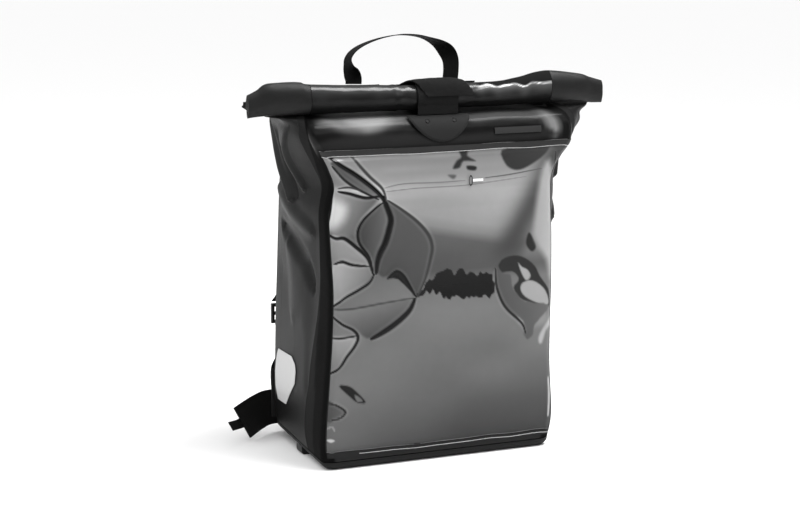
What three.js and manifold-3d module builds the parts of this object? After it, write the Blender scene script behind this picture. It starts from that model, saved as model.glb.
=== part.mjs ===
// Roll-top courier backpack with a clear front pocket, in millimetres, +Z up.
// The front faces -Y. The origin is on the floor, in the middle of the front foot rail.
import * as THREE from "three";
import { mergeVertices } from "three/addons/utils/BufferGeometryUtils.js";
import Module from "manifold-3d";

const wasm = await Module();
wasm.setup();

// Driving sizes of the bag
const WIDTH = 408; // across the front panel, corner to corner
const DEPTH = 242; // front panel to back panel near the floor
const BODY_TOP = 605; // height of the top over the load
const WALL = 1.6; // coated cloth
const SEAM_GAP = 0.4; // between two welded panels
const RIM_GAP = 1.35; // between the base's rim and the panels over it
const REST_GAP = 0.4; // between a piece and what it lies on

// Corners and base of the body
const FRONT_CORNER = 15; // rounding where the front turns into a side
const BACK_CORNER = 18;
const BASE_ROUND_X = 22; // rounding of the lower corners, seen from the front
const BASE_ROUND_Y = 14;
const BASE_ROUND_Z = 15.5;
const BACK_LIFT = 14; // how far the lower back edge clears the floor
const FRONT_BULGE = 9; // how far the load pushes the front panel out
const BACK_RETURN = 0.12; // share of each side that the back panel's edge covers

// Rolled closure
const ROLL_HALF = 311; // half of the roll's length
const ROLL_CENTRE_HALF = 210; // half of its glossy middle
const ROLL_DEPTH = 40; // front to back
const ROLL_HEIGHT = 44; // in the middle
const ROLL_PLY = 3; // two plies pressed flat
const ROLL_PITCH = 3.7; // from one turn to the next
const ROLL_TURNS = 1.62;
const ROLL_START = -10; // degrees above the back of the roll, where the neck runs in
const ROLL_BACK_GAP = 0.5; // from the roll to the neck behind it
const ROLL_DROP = 0.5; // from the neck's edge down to the roll's middle
const ROLL_SEAM = 0.9; // between the roll's middle and its ends
const ROLL_STEPS = 22; // facets along its turns

// Closure strap and its patch
const TAB_WIDTH = 70;
const STRAP_WIDTH = 80;
const STRAP_PLY = 2.2;
const STRAP_SKEW = 24; // how much further to -X the strap lies at its back end
const TAB_ARC = [208, 112]; // degrees round the roll, from its back up over its top
const STRAP_ARC = [172, 52];
const STRAP_RISE = 5; // how far the strap stands up over the roll's top
const STRAP_END = [-0.13, -0.08, 0]; // shares of the depth at which its end lies on the top
const PATCH_X = 4;
const PATCH_LOW = 0.868 * BODY_TOP;
const PATCH_TURN = 80; // degrees from its top edge, where its last row of facets lies
const PATCH_WIDTH = 108;
const PATCH_PLY = 2;
const PATCH_GAP = 0.7; // from the front's top bend to the patch on it
const RIVET_SPACING = 47;
const RIVET_RADIUS = 3.2;
const RIVET_GAP = 0.3;
const RIVET_SIDES = 12;
const RIVET_HEIGHT = 1.4;
const RIVET_DOWN = 0.36; // share of the patch's drop

// Carry handle
const HANDLE_WIDTH = 28;
const HANDLE_PLY = 2;
const HANDLE_Y = 40;
const HANDLE_SPAN = 174; // between the middles of its feet
const HANDLE_RISE = 80;
const HANDLE_SEAT = 6; // how far in front of its middle its foot touches
const ANCHOR_LENGTH = 54;
const ANCHOR_PLY = 3;
const ANCHOR_SHIFT = 13; // the tabs reach further towards +X

// Clear pocket on the front
const FILM_PLY = 1;
const FILM_GAP = 1.1; // from the front panel to the film
const FILM_TURN = 0.45; // share of each front corner that the film goes round
const FILM_LOW = 31;
const FILM_HIGH = 0.842 * BODY_TOP;
const HEM_HEIGHT = 9;
const HEM_PLY = 1;
const HEM_GAP = 0.6; // between the film's edge and the hem beside it
const PULL_X = 62;
const PULL_Z = 0.7625 * BODY_TOP;
const PULL_LENGTH = 18;
const PULL_HEIGHT = 4;
const PULL_PLY = 1.6;
const LOOP_RADIUS = 6;
const LOOP_WIRE = 0.9;
const LOOP_FORM = [0.5, 1.3]; // its width and height, as shares of a round one's
const FILM_FOLD = 3; // rise of the pocket's creases

// Side reflectors and the plain bar on the front
const REFLECTOR_PLY = 0.8;
const REFLECTOR_GAP = 0.9;
const REFLECTOR_LOW = 73;
const REFLECTOR_HEIGHT = 88;
const REFLECTOR_DEPTH = 99;
const REFLECTOR_FRONT = 1; // where its front edge lies, along Y
const BAR_LENGTH = 84;
const BAR_HEIGHT = 10;
const BAR_PLY = 0.8;
const BAR_X = 139;
const BAR_Z = 0.89 * BODY_TOP;

// Foot rails
const RAIL_WIDTH = 26;
const RAIL_HALF = 203;
const BACK_RAIL_HALF = 150;
const RAIL_SPACING = 0.33 * DEPTH;
const RAIL_ROUND = 6;

// Back pads and shoulder straps
const PAD_THICK = 15;
const BACK_PAD_HALF = 138;
const LUMBAR_HALF = 208;
const LUMBAR_LOW = 32;
const LUMBAR_HIGH = 116;
const PAD_SPACE = 18; // between the two pads
const BACK_PAD_LOW = LUMBAR_HIGH + PAD_SPACE;
const BACK_PAD_HIGH = 0.8 * BODY_TOP;
const SHOULDER_WIDTH = 62;
const SHOULDER_THICK = 11;
const SHOULDER_REACH = 52; // how far a strap stands off the back
const WEBBING_WIDTH = 25;
const WEBBING_PLY = 2;
const WEBBING_INSET = 17; // from the lumbar pad's end to the webbing on it
const WEBBING_SLACK = 14; // how far its loose stretch swings inwards
const BUCKLE_WIDTH = 36;
const BUCKLE_HEIGHT = 34;
const BUCKLE_THICK = 7;
const BUCKLE_RIM = 5;
const BUCKLE_SET = 2; // how far behind the strap's face it lies
const BELT_WIDTH = 62;
const BELT_PLY = 3;
const BELT_REACH = 76; // how far a hip fin reaches out past the pad's edge
const BELT_CURL = 46; // how far its tip curls forward
const TAIL_WIDTH = 18;

// Sections of the body from the base to the neck of the roll.
// frontY and backY are shares of DEPTH. frontUp and backUp go from 0 at the rim of the base
// to 1 at BODY_TOP. half, leftHalf and backHalf are shares of half the WIDTH, and flare and
// leftFlare, how far a side folds out, of half the DEPTH. wrap is the share of each side that
// the front panel covers, bulge a share of FRONT_BULGE, foot 1 where the corners meet the
// base's, and flat 1 where the two plies of a side lie on each other.
const SECTIONS = `
frontY frontUp backY  backUp half  leftHalf backHalf flare leftFlare wrap bulge foot flat
-0.5   0       0.5    0      1     1        1        0     0         0.29 0     1    0
-0.5   0.071   0.5    0.066  1.035 1.0      1.02     0.01  0.01      0.33 0.25  0.3  0
-0.5   0.223   0.5    0.214  1.01  0.965    1.015    0.04  0.03      0.28 0.75  0    0
-0.5   0.345   0.5    0.34   1.01  0.94     1.005    0.1   0.04      0.2  0.95  0    0
-0.5   0.468   0.5    0.467  1.015 0.93     0.99     0.2   0.06      0.13 1     0    0
-0.5   0.59    0.49   0.591  1.01  0.95     0.98     0.32  0.1       0.08 0.9   0    0
-0.5   0.684   0.475  0.686  1.0   0.96     0.975    0.36  0.16      0.06 0.7   0    0
-0.5   0.755   0.455  0.765  1.005 0.92     0.97     0.38  0.22      0.07 0.5   0    0
-0.498 0.806   0.425  0.85   1.08  0.965    0.97     0.4   0.27      0.1  0.3   0    0.05
-0.494 0.845   0.385  0.908  1.17  1.02     0.98     0.44  0.31      0.12 0.15  0    0.15
-0.485 0.878   0.33   0.948  1.19  1.065    0.99     0.56  0.36      0.13 0.05  0    0.3
-0.47  0.903   0.24   0.984  1.18  1.08     1.0      0.64  0.43      0.13 0     0    0.5
-0.44  0.922   0.12   0.998  1.14  1.08     1.01     0.74  0.58      0.12 0     0    0.7
-0.395 0.932   0      1      1.09  1.06     1.02     0.8   0.74      0.1  0     0    0.85
-0.34  0.937   -0.09  1      1.05  1.04     1.025    0.83  0.81      0.08 0     0    0.95
-0.29  0.942   -0.15  0.997  1.03  1.03     1.025    0.84  0.84      0.07 0     0    1
-0.255 0.957   -0.195 0.992  1.025 1.025    1.025    0.84  0.84      0.06 0     0    1
-0.244 0.981   -0.217 0.985  1.02  1.02     1.02     0.85  0.85      0.06 0     0    1
`;

// The roll along its length. at is a share of ROLL_HALF, height and depth are shares of the
// roll's middle size, and rise is how far it lifts, as a share of its height.
const ROLL_PROFILE = `
at    height depth rise
-1    0.76   0.5   -0.14
-0.95 0.98   0.6   0.0
-0.89 1.24   0.72  0.12
-0.73 1.26   0.94  0.13
-0.66 1.16   1     0.08
-0.3  1.04   1     0.02
0     1      1     0
0.35  1      1     0.02
0.62  1.2    1     0.13
0.7   1.34   0.96  0.24
0.86  1.2    0.76  0.14
0.93  1.02   0.62  0.02
1     0.84   0.5   -0.08
`;

// Middle line of the carry handle. x is a share of half the span and z of the rise.
// twist is 0 where the webbing faces the front and 1 where it lies flat.
const HANDLE_ROUTE = `
x     z     twist
-1    0     0
-1    0.1   0.1
-1.04 0.22  0.45
-1.1  0.36  0.8
-1.12 0.52  0.95
-1.04 0.66  1
-0.88 0.78  1
-0.65 0.88  1
-0.38 0.955 1
-0.05 1     1
0.26  0.98  1
0.52  0.91  0.95
0.76  0.79  0.7
0.93  0.62  0.35
1.01  0.44  0.1
1.02  0.22  0
1     0     0
`;

// Creases of the clear pocket. Each runs from one place to another, given as shares of half
// the film's width and of its height. spread is its width and rise its height, as shares of
// FILM_FOLD.
const FOLDS = `
fromX fromZ toX   toZ  spread rise
-0.98 0.97  -0.5  0.8  0.05   0.8
-0.98 0.87  -0.5  0.8  0.045  0.9
-0.98 0.75  -0.62 0.66 0.05   0.8
-0.5  0.8   -0.56 0.56 0.05   0.8
-0.98 0.48  -0.25 0.51 0.06   1
-0.98 0.4   -0.72 0.38 0.05   0.7
-0.72 0.38  -0.98 0.26 0.05   0.6
0.98  0.5   0.5   0.58 0.08   0.8
`;

// Outline of a side reflector. up is a share of its height, from and to are shares of its depth.
const REFLECTOR_ROWS = `
up   from to
0    0.46 0.86
0.26 0.26 0.98
0.5  0.05 1
0.84 0    0.93
1    0.2  0.84
`;

// Route of a shoulder strap, top first. x is a share of half the WIDTH, stand of
// SHOULDER_REACH, z of BODY_TOP and wide of SHOULDER_WIDTH.
const SHOULDER_ROUTE = `
x    stand z     wide
0.3  0     0.9   0.9
0.3  0.02  0.865 0.95
0.31 0.3   0.83  1
0.34 0.68  0.775 1
0.39 0.92  0.7   1
0.46 1     0.61  1
0.56 0.94  0.53  1
0.68 0.76  0.46  0.9
0.78 0.58  0.41  0.75
0.88 0.47  0.38  0.62
`;

// Route of a hip fin. out is a share of BELT_REACH past the lumbar pad's edge, front of
// BELT_CURL, z of BELT_WIDTH, and slant tips its section over.
const BELT_ROUTE = `
out  front z    slant
-0.5 0     0.73 0.15
0    0     0.72 0.2
0.3  0.25  0.67 0.3
0.6  0.65  0.61 0.42
0.82 1     0.57 0.52
`;

// Loose webbing at a fin's tip. along goes from 0, the last bend of the fin, through 1, its
// tip. up is how far it lifts, as a share of TAIL_WIDTH.
const BELT_TAIL = [
  { along: 0.4, up: 0 },
  { along: 1, up: 0 },
  { along: 1.8, up: 0.2 },
  { along: 2.5, up: 0.4 },
];

const { lerp, clamp, degToRad, smoothstep } = THREE.MathUtils;
const vec = (x, y, z) => new THREE.Vector3(x, y, z);
const HALF_WIDTH = WIDTH / 2;
const HALF_DEPTH = DEPTH / 2;

const MATERIALS = {
  gloss: { color: 0x161617, roughness: 0.25, metalness: 0 },
  cloth: { color: 0x2b2b2c, roughness: 0.85, metalness: 0 },
  webbing: { color: 0x1d1d1e, roughness: 0.9, metalness: 0 },
  film: { color: 0x77787a, roughness: 0.08, metalness: 0 },
  plastic: { color: 0x1b1b1c, roughness: 0.5, metalness: 0 },
  white: { color: 0xe6e6e6, roughness: 0.5, metalness: 0 },
  reflector: { color: 0xd8d8d8, roughness: 0.4, metalness: 0.1 },
};

const group = new THREE.Group();

function addPiece(name, geometry, materialName) {
  const mesh = new THREE.Mesh(geometry, new THREE.MeshStandardMaterial(MATERIALS[materialName]));
  mesh.name = name;
  group.add(mesh);
}

// Rows of a table whose first line names its columns
function readTable(text) {
  const [names, ...rows] = text.trim().split("\n").map((line) => line.trim().split(/\s+/));
  return rows.map((row) => Object.fromEntries(names.map((name, i) => [name, Number(row[i])])));
}

// Smooth row of a table at a place from 0, its first row, to 1, its last
function rowAt(table, place) {
  const last = table.length - 1;
  const at = clamp(place, 0, 1) * last;
  const i = Math.min(Math.floor(at), last - 1);
  const k = at - i;
  const [a, b, c, d] = [i - 1, i, i + 1, i + 2].map((n) => table[clamp(n, 0, last)]);
  const row = {};
  for (const name of Object.keys(b)) {
    const tangentB = (c[name] - a[name]) / 2;
    const tangentC = (d[name] - b[name]) / 2;
    const bend = 2 * (b[name] - c[name]) + tangentB + tangentC;
    const slope = 3 * (c[name] - b[name]) - 2 * tangentB - tangentC;
    row[name] = ((bend * k + slope) * k + tangentB) * k + b[name];
  }
  return row;
}

// Place in a table where a rising function of the place reaches a value
function solvePlace(rising, value) {
  let low = 0;
  let high = 1;
  for (let i = 0; i < 30; i++) {
    const middle = (low + high) / 2;
    if (rising(middle) < value) low = middle;
    else high = middle;
  }
  return (low + high) / 2;
}

const steps = (count, from = 0, to = 1) =>
  Array.from({ length: count + 1 }, (_, i) => lerp(from, to, i / count));

// Normal of a grid of points at one of its vertices
function gridNormal(grid, i, j) {
  const rows = grid.length - 1;
  const columns = grid[0].length - 1;
  const along = grid[Math.min(i + 1, rows)][j].clone().sub(grid[Math.max(i - 1, 0)][j]);
  const across = grid[i][Math.min(j + 1, columns)].clone().sub(grid[i][Math.max(j - 1, 0)]);
  return across.cross(along).normalize();
}

// Closed geometry from points and faces, turned so that its faces point out
function closedGeometry(points, faces) {
  const middle = points.reduce((sum, p) => sum.add(p), vec(0, 0, 0)).divideScalar(points.length);
  const [origin, first, second, third] = [middle, vec(), vec(), vec()];
  const volume = faces.reduce((sum, [a, b, c]) => {
    first.subVectors(points[a], origin);
    second.subVectors(points[b], origin);
    third.subVectors(points[c], origin);
    return sum + first.dot(second.cross(third));
  }, 0);
  const turned = volume < 0 ? faces.map(([a, b, c]) => [a, c, b]) : faces;
  const geometry = new THREE.BufferGeometry().setFromPoints(points);
  geometry.setIndex(turned.flat());
  geometry.computeVertexNormals();
  return geometry;
}

// Sheet of cloth: a grid of points given a thickness on the side of `towards`, a point
function sheet(grid, thickness, towards) {
  const rows = grid.length;
  const columns = grid[0].length;
  const [midRow, midColumn] = [rows >> 1, columns >> 1];
  const aim = towards.clone().sub(grid[midRow][midColumn]);
  const turn = gridNormal(grid, midRow, midColumn).dot(aim) < 0 ? -1 : 1;
  const points = grid.flat();
  grid.forEach((line, i) => line.forEach((p, j) => {
    points.push(p.clone().addScaledVector(gridNormal(grid, i, j), turn * thickness));
  }));
  const at = (i, j, layer) => layer * rows * columns + i * columns + j;
  const faces = [];
  const quad = (a, b, c, d) => faces.push([a, b, c], [a, c, d]);
  for (let i = 0; i < rows - 1; i++) {
    for (let j = 0; j < columns - 1; j++) {
      quad(at(i, j, 0), at(i, j + 1, 0), at(i + 1, j + 1, 0), at(i + 1, j, 0));
      quad(at(i, j, 1), at(i + 1, j, 1), at(i + 1, j + 1, 1), at(i, j + 1, 1));
    }
    const last = columns - 1;
    quad(at(i, 0, 0), at(i + 1, 0, 0), at(i + 1, 0, 1), at(i, 0, 1));
    quad(at(i, last, 0), at(i, last, 1), at(i + 1, last, 1), at(i + 1, last, 0));
  }
  for (let j = 0; j < columns - 1; j++) {
    const last = rows - 1;
    quad(at(0, j, 0), at(0, j, 1), at(0, j + 1, 1), at(0, j + 1, 0));
    quad(at(last, j, 0), at(last, j + 1, 0), at(last, j + 1, 1), at(last, j, 1));
  }
  return closedGeometry(points, faces);
}

// Band along a route of points, each with the direction of its width, whose length is a share
// of the width. It gets its thickness on the side of `towards`.
function band(route, width, thickness, towards) {
  const grid = route.map(({ point, across }) => [-0.5, 0, 0.5].map((share) =>
    point.clone().addScaledVector(across, share * width)));
  return sheet(grid, thickness, towards);
}

// Solid for manifold-3d from a closed geometry, and back
function toSolid(geometry) {
  const bare = geometry.clone();
  bare.deleteAttribute("normal");
  bare.deleteAttribute("uv");
  const merged = mergeVertices(bare, 1e-4);
  return new wasm.Manifold(new wasm.Mesh({
    numProp: 3,
    vertProperties: new Float32Array(merged.attributes.position.array),
    triVerts: new Uint32Array(merged.index.array),
  }));
}

function fromSolid(solid) {
  const mesh = solid.getMesh();
  const geometry = new THREE.BufferGeometry();
  geometry.setAttribute("position", new THREE.BufferAttribute(mesh.vertProperties, 3));
  geometry.setIndex(new THREE.BufferAttribute(mesh.triVerts, 1));
  geometry.computeVertexNormals();
  return geometry;
}

// Shape of the body
const sections = readTable(SECTIONS);
const baseStart = -HALF_DEPTH + BASE_ROUND_Y; // line that the base stands on
const baseSlope = BACK_LIFT / (HALF_DEPTH - baseStart);
const rimHeight = (y) => BASE_ROUND_Z + baseSlope * (y - baseStart);
const frontHeight = (row) => lerp(rimHeight(-HALF_DEPTH), BODY_TOP, row.frontUp);
const backHeight = (row) => lerp(rimHeight(HALF_DEPTH), BODY_TOP, row.backUp);
const placeAtFront = (z) => solvePlace((k) => frontHeight(rowAt(sections, k)), z);
const placeAtBack = (z) => solvePlace((k) => backHeight(rowAt(sections, k)), z);
const TOP_FRONT_ROW = 13; // section at which the front's top bend ends
const TOP_FRONT_PLACE = TOP_FRONT_ROW / (sections.length - 1);
const CORNER_SHARE = 0.3; // most of a section's depth that one corner takes
const FOLD_REACH = 0.06; // share of a side taken by the bend between its two plies
const RIGHT = 1;
const LEFT = -1;

// Point on the outer surface. region is front, frontCorner, side, backCorner or back, and
// t goes along it from the middle of the front to the middle of the back.
function bodyPoint(place, side, region, t) {
  const row = rowAt(sections, place);
  const front = new THREE.Vector2(row.frontY * DEPTH, frontHeight(row));
  const back = new THREE.Vector2(row.backY * DEPTH, backHeight(row));
  const length = front.distanceTo(back);
  const half = HALF_WIDTH * (side === RIGHT ? row.half : row.leftHalf);
  const flare = HALF_DEPTH * (side === RIGHT ? row.flare : row.leftFlare);
  const backHalf = HALF_WIDTH * row.backHalf;
  const frontX = lerp(FRONT_CORNER, BASE_ROUND_X, row.foot) * (1 - row.flat / 2);
  const frontW = Math.min(lerp(FRONT_CORNER, BASE_ROUND_Y, row.foot), length * CORNER_SHARE);
  const backX = lerp(BACK_CORNER, BASE_ROUND_X, row.foot) * (1 - row.flat / 2);
  const backW = Math.min(lerp(BACK_CORNER, BASE_ROUND_Y, row.foot), length * CORNER_SHARE);
  const angle = t * Math.PI / 2;
  const foldedT = smoothstep(t, 0.5 - FOLD_REACH, 0.5 + FOLD_REACH);
  const box = Math.sin(Math.PI * t);
  const fold = 1 - Math.abs(2 * t - 1);
  let [x, w, bulge] = [0, 0, 0];
  if (region === "front") {
    x = t * (half - frontX);
    bulge = row.bulge * FRONT_BULGE * (1 - t * t);
  } else if (region === "frontCorner") {
    x = half - frontX * (1 - Math.sin(angle));
    w = frontW * (1 - Math.cos(angle));
  } else if (region === "side") {
    x = lerp(half, backHalf, t) + flare * lerp(box, fold, row.flat);
    w = lerp(frontW, length - backW, lerp(t, foldedT, row.flat));
  } else if (region === "backCorner") {
    x = backHalf - backX * (1 - Math.cos(angle));
    w = length - backW * (1 - Math.sin(angle));
  } else {
    x = (1 - t) * (backHalf - backX);
    w = length;
  }
  const k = w / length;
  return vec(side * x, lerp(front.x, back.x, k) - bulge, lerp(front.y, back.y, k));
}

// Point on the front: u is -1 and 1 where the corners start, and goes on round them
function frontPoint(u, place) {
  const side = u < 0 ? LEFT : RIGHT;
  const across = Math.abs(u);
  if (across <= 1) return bodyPoint(place, side, "front", across);
  return bodyPoint(place, side, "frontCorner", across - 1);
}

// The same, lifted off the surface
function liftedFrontPoint(u, place, lift) {
  const [stepU, stepPlace] = [0.02, 0.004];
  const across = frontPoint(u + stepU, place).sub(frontPoint(u - stepU, place));
  const along = frontPoint(u, place + stepPlace).sub(frontPoint(u, place - stepPlace));
  return frontPoint(u, place).addScaledVector(across.cross(along).normalize(), lift);
}

// u of a place on the front that lies at x
function frontShare(x, place) {
  const edge = bodyPoint(place, x < 0 ? LEFT : RIGHT, "front", 1).x;
  return x / Math.abs(edge);
}

// Point of the back at x and z, lifted off it
function backPoint(x, z, lift) {
  const row = rowAt(sections, placeAtBack(z));
  return vec(x, row.backY * DEPTH + lift, z);
}

// Point of a side at y and z
function sidePoint(side, y, z) {
  let frontZ = z;
  let point = vec();
  for (let i = 0; i < 5; i++) {
    const place = placeAtFront(frontZ);
    const surface = (t) => bodyPoint(place, side, "side", t);
    point = surface(solvePlace((t) => surface(t).y, y));
    frontZ += z - point.z;
  }
  return point;
}

// Height of the base's outer face at x and y
function baseHeight(x, y) {
  const plane = rimHeight(y) - BASE_ROUND_Z;
  const overX = clamp((Math.abs(x) - (HALF_WIDTH - BASE_ROUND_X)) / BASE_ROUND_X, 0, 1);
  const overY = clamp((Math.abs(y) - (HALF_DEPTH - BASE_ROUND_Y)) / BASE_ROUND_Y, 0, 1);
  const over = Math.min(1, Math.hypot(overX, overY));
  return plane + BASE_ROUND_Z * (1 - Math.sqrt(1 - over * over)) - RIM_GAP * over;
}

// Panels of the body
const inside = vec(0, 0, BODY_TOP / 2);
const panelPlaces = [0, 0.03, ...steps(19, 0.06, 1)];
const SIDE_STEPS = [0, 0.13, 0.27, 0.4, 0.465, 0.5, 0.535, 0.6, 0.73, 0.87, 1];

function frontPanel() {
  const line = (place) => {
    const wrap = rowAt(sections, place).wrap;
    const half = (side) => [
      ...steps(6, 0, 1).map((t) => bodyPoint(place, side, "front", t)),
      ...steps(3, 0, 1).slice(1).map((t) => bodyPoint(place, side, "frontCorner", t)),
      ...steps(2, 0, wrap).slice(1).map((t) => bodyPoint(place, side, "side", t)),
    ];
    return [...half(LEFT).slice(1).reverse(), ...half(RIGHT)];
  };
  return sheet(panelPlaces.map(line), WALL, inside);
}

// Where the seam between a side and the back panel lies along that side
const backSeam = (row) => 1 - BACK_RETURN * (1 - row.flat / 2);

function sidePanel(side) {
  const line = (place) => {
    const row = rowAt(sections, place);
    const gap = SEAM_GAP / (DEPTH - FRONT_CORNER - BACK_CORNER);
    const from = row.wrap + gap;
    const to = backSeam(row) - gap;
    return SIDE_STEPS.map((t) => bodyPoint(place, side, "side", fitStep(t, from, to)));
  };
  return sheet(panelPlaces.map(line), WALL, inside);
}

// Step along a side between two seams, which keeps the steps at its middle fold
function fitStep(t, from, to) {
  const [low, high] = [SIDE_STEPS[3], SIDE_STEPS[7]];
  if (t < low) return lerp(from, low, t / low);
  if (t > high) return lerp(high, to, (t - high) / (1 - high));
  return t;
}

function backPanel() {
  const line = (place) => {
    const row = rowAt(sections, place);
    const start = backSeam(row);
    const half = (side) => [
      bodyPoint(place, side, "side", start),
      bodyPoint(place, side, "side", (start + 1) / 2),
      ...steps(3, 0, 1).map((t) => bodyPoint(place, side, "backCorner", t)),
      ...steps(3, 0, 1).slice(1).map((t) => bodyPoint(place, side, "back", t)),
    ];
    return [...half(LEFT), ...half(RIGHT).slice(0, -1).reverse()];
  };
  return sheet(panelPlaces.map(line), WALL, inside);
}

// Steps of a quarter round, as shares of its radius
const roundSteps = steps(3).map((k) => Math.sin(k * Math.PI / 2));

// Tray with rounded lower edges, whose rim meets the panels
function basePanel() {
  const turns = [...roundSteps].reverse();
  const span = (flatHalf, round, count) => {
    const low = turns.map((k) => ({ at: -flatHalf, over: -k }));
    const flat = steps(count, -flatHalf, flatHalf).slice(1, -1).map((at) => ({ at, over: 0 }));
    const high = [...turns].reverse().map((k) => ({ at: flatHalf, over: k }));
    return [...low, ...flat, ...high].map((entry) => ({ ...entry, round }));
  };
  const columns = span(HALF_WIDTH - BASE_ROUND_X, BASE_ROUND_X, 6);
  const rows = span(HALF_DEPTH - BASE_ROUND_Y, BASE_ROUND_Y, 5);
  const grid = rows.map((v) => columns.map((u) => {
    const reach = Math.max(Math.abs(u.over), Math.abs(v.over));
    const squeeze = reach > 0 ? reach / Math.hypot(u.over, v.over) : 1;
    const x = u.at + u.round * u.over * squeeze;
    const y = v.at + v.round * v.over * squeeze;
    return vec(x, y, Math.max(baseHeight(x, y), 0));
  }));
  return sheet(grid, WALL, inside);
}

addPiece("front_panel", frontPanel(), "gloss");
addPiece("side_panel_left", sidePanel(LEFT), "cloth");
addPiece("side_panel_right", sidePanel(RIGHT), "cloth");
addPiece("back_panel", backPanel(), "cloth");
addPiece("base_panel", basePanel(), "cloth");

// Rolled closure in three lengths of cloth
const neckFront = bodyPoint(1, RIGHT, "front", 0);
const rollMiddleY = neckFront.y - ROLL_BACK_GAP - ROLL_DEPTH / 2;
const rollMiddleZ = neckFront.z - ROLL_DROP;
const rollProfile = readTable(ROLL_PROFILE);
const placeInRoll = (x) => solvePlace((k) => rowAt(rollProfile, k).at * ROLL_HALF, x);

function rollPoint(x, turn, lift = 0) {
  const row = rowAt(rollProfile, placeInRoll(x));
  const angle = degToRad(ROLL_START + 360 * ROLL_TURNS * turn);
  const inset = ROLL_PITCH * ROLL_TURNS * turn - lift;
  const y = (ROLL_DEPTH * row.depth / 2 - inset) * Math.cos(angle);
  const z = (ROLL_HEIGHT * row.height / 2 - inset) * Math.sin(angle);
  return vec(x, rollMiddleY + y, rollMiddleZ + row.rise * ROLL_HEIGHT + z);
}

function rollLength(from, to, count) {
  const grid = steps(ROLL_STEPS).map((turn) => steps(count, from, to).map((x) => rollPoint(x, turn)));
  return sheet(grid, ROLL_PLY, vec((from + to) / 2, rollMiddleY, rollMiddleZ));
}

const rollSeam = ROLL_CENTRE_HALF + ROLL_SEAM;
addPiece("roll_center", rollLength(-ROLL_CENTRE_HALF, ROLL_CENTRE_HALF, 8), "gloss");
addPiece("roll_end_left", rollLength(-ROLL_HALF, -rollSeam, 5), "cloth");
addPiece("roll_end_right", rollLength(rollSeam, ROLL_HALF, 5), "cloth");

// Foot rails across the base
function footRail(half, y) {
  const top = (x) => baseHeight(x, y - RAIL_WIDTH / 2) - REST_GAP;
  const rounding = roundSteps.map((k) => HALF_WIDTH - BASE_ROUND_X * (1 - k));
  const topXs = [...rounding.filter((x) => x < half), half];
  const outline = new THREE.Shape();
  outline.moveTo(-half + RAIL_ROUND, 0);
  outline.lineTo(half - RAIL_ROUND, 0);
  outline.quadraticCurveTo(half, 0, half, Math.min(RAIL_ROUND, top(half) / 2));
  outline.lineTo(half, top(half));
  for (const x of [...topXs].reverse().slice(1)) outline.lineTo(x, top(x));
  for (const x of topXs) outline.lineTo(-x, top(x));
  outline.lineTo(-half, Math.min(RAIL_ROUND, top(half) / 2));
  outline.quadraticCurveTo(-half, 0, -half + RAIL_ROUND, 0);
  const options = { depth: RAIL_WIDTH, bevelEnabled: false, curveSegments: 3 };
  const geometry = new THREE.ExtrudeGeometry(outline, options);
  geometry.rotateX(Math.PI / 2);
  geometry.translate(0, y + RAIL_WIDTH / 2, 0);
  return geometry;
}

addPiece("foot_rail_front", footRail(RAIL_HALF, 0), "plastic");
addPiece("foot_rail_back", footRail(BACK_RAIL_HALF, RAIL_SPACING), "plastic");

// Clear pocket with its hems
const folds = readTable(FOLDS);

function foldRise(u, up) {
  return folds.reduce((highest, fold) => {
    const from = new THREE.Vector2(fold.fromX, fold.fromZ * 2);
    const run = new THREE.Vector2(fold.toX, fold.toZ * 2).sub(from);
    const at = new THREE.Vector2(u, up * 2).sub(from);
    const k = clamp(at.dot(run) / run.lengthSq(), 0, 1);
    const away = at.sub(run.multiplyScalar(k)).length() / (fold.spread * 2);
    return Math.max(highest, fold.rise * FILM_FOLD * Math.max(0, 1 - away * away));
  }, 0);
}

const filmEdges = [-1 - FILM_TURN, -1 - FILM_TURN / 2];
const filmColumns = [...filmEdges, ...steps(12, -1, 1), ...filmEdges.map((u) => -u).reverse()];

function frontBand(low, high, rows, lift, rise = () => 0) {
  const [from, to] = [placeAtFront(low), placeAtFront(high)];
  return steps(rows).map((up) => filmColumns.map((u) => {
    const place = lerp(from, to, up);
    return liftedFrontPoint(u, place, lift + rise(u, up));
  }));
}

const beforeFront = vec(0, -DEPTH * 2, BODY_TOP / 2);
const filmGrid = frontBand(FILM_LOW, FILM_HIGH, 15, FILM_GAP, foldRise);
addPiece("window_film", sheet(filmGrid, FILM_PLY, beforeFront), "film");
const hemLow = FILM_LOW - HEM_GAP;
const hemHigh = FILM_HIGH + HEM_GAP;
const lowerHem = frontBand(hemLow - HEM_HEIGHT, hemLow, 1, REST_GAP);
addPiece("pocket_hem_bottom", sheet(lowerHem, HEM_PLY, beforeFront), "gloss");
const upperHem = frontBand(hemHigh, hemHigh + HEM_HEIGHT, 1, REST_GAP);
addPiece("pocket_hem_top", sheet(upperHem, HEM_PLY, beforeFront), "gloss");

// Pull of the pocket, which lies on the film
const pullPlace = placeAtFront(PULL_Z);
const pullFilm = FILM_GAP + FILM_PLY;
const pullAt = liftedFrontPoint(frontShare(PULL_X, pullPlace), pullPlace, pullFilm + REST_GAP);
const pull = new THREE.BoxGeometry(PULL_LENGTH, PULL_PLY, PULL_HEIGHT);
pull.translate(pullAt.x, pullAt.y - PULL_PLY / 2, pullAt.z);
addPiece("pocket_pull", pull, "white");
const loop = new THREE.TorusGeometry(LOOP_RADIUS, LOOP_WIRE, 6, 16);
loop.scale(...LOOP_FORM, 1);
loop.rotateX(Math.PI / 2);
const loopX = pullAt.x - PULL_LENGTH / 2 - LOOP_RADIUS / 2 - LOOP_WIRE;
loop.translate(loopX, pullAt.y - 2 * LOOP_WIRE, pullAt.z);
addPiece("pocket_loop", loop, "plastic");

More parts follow.
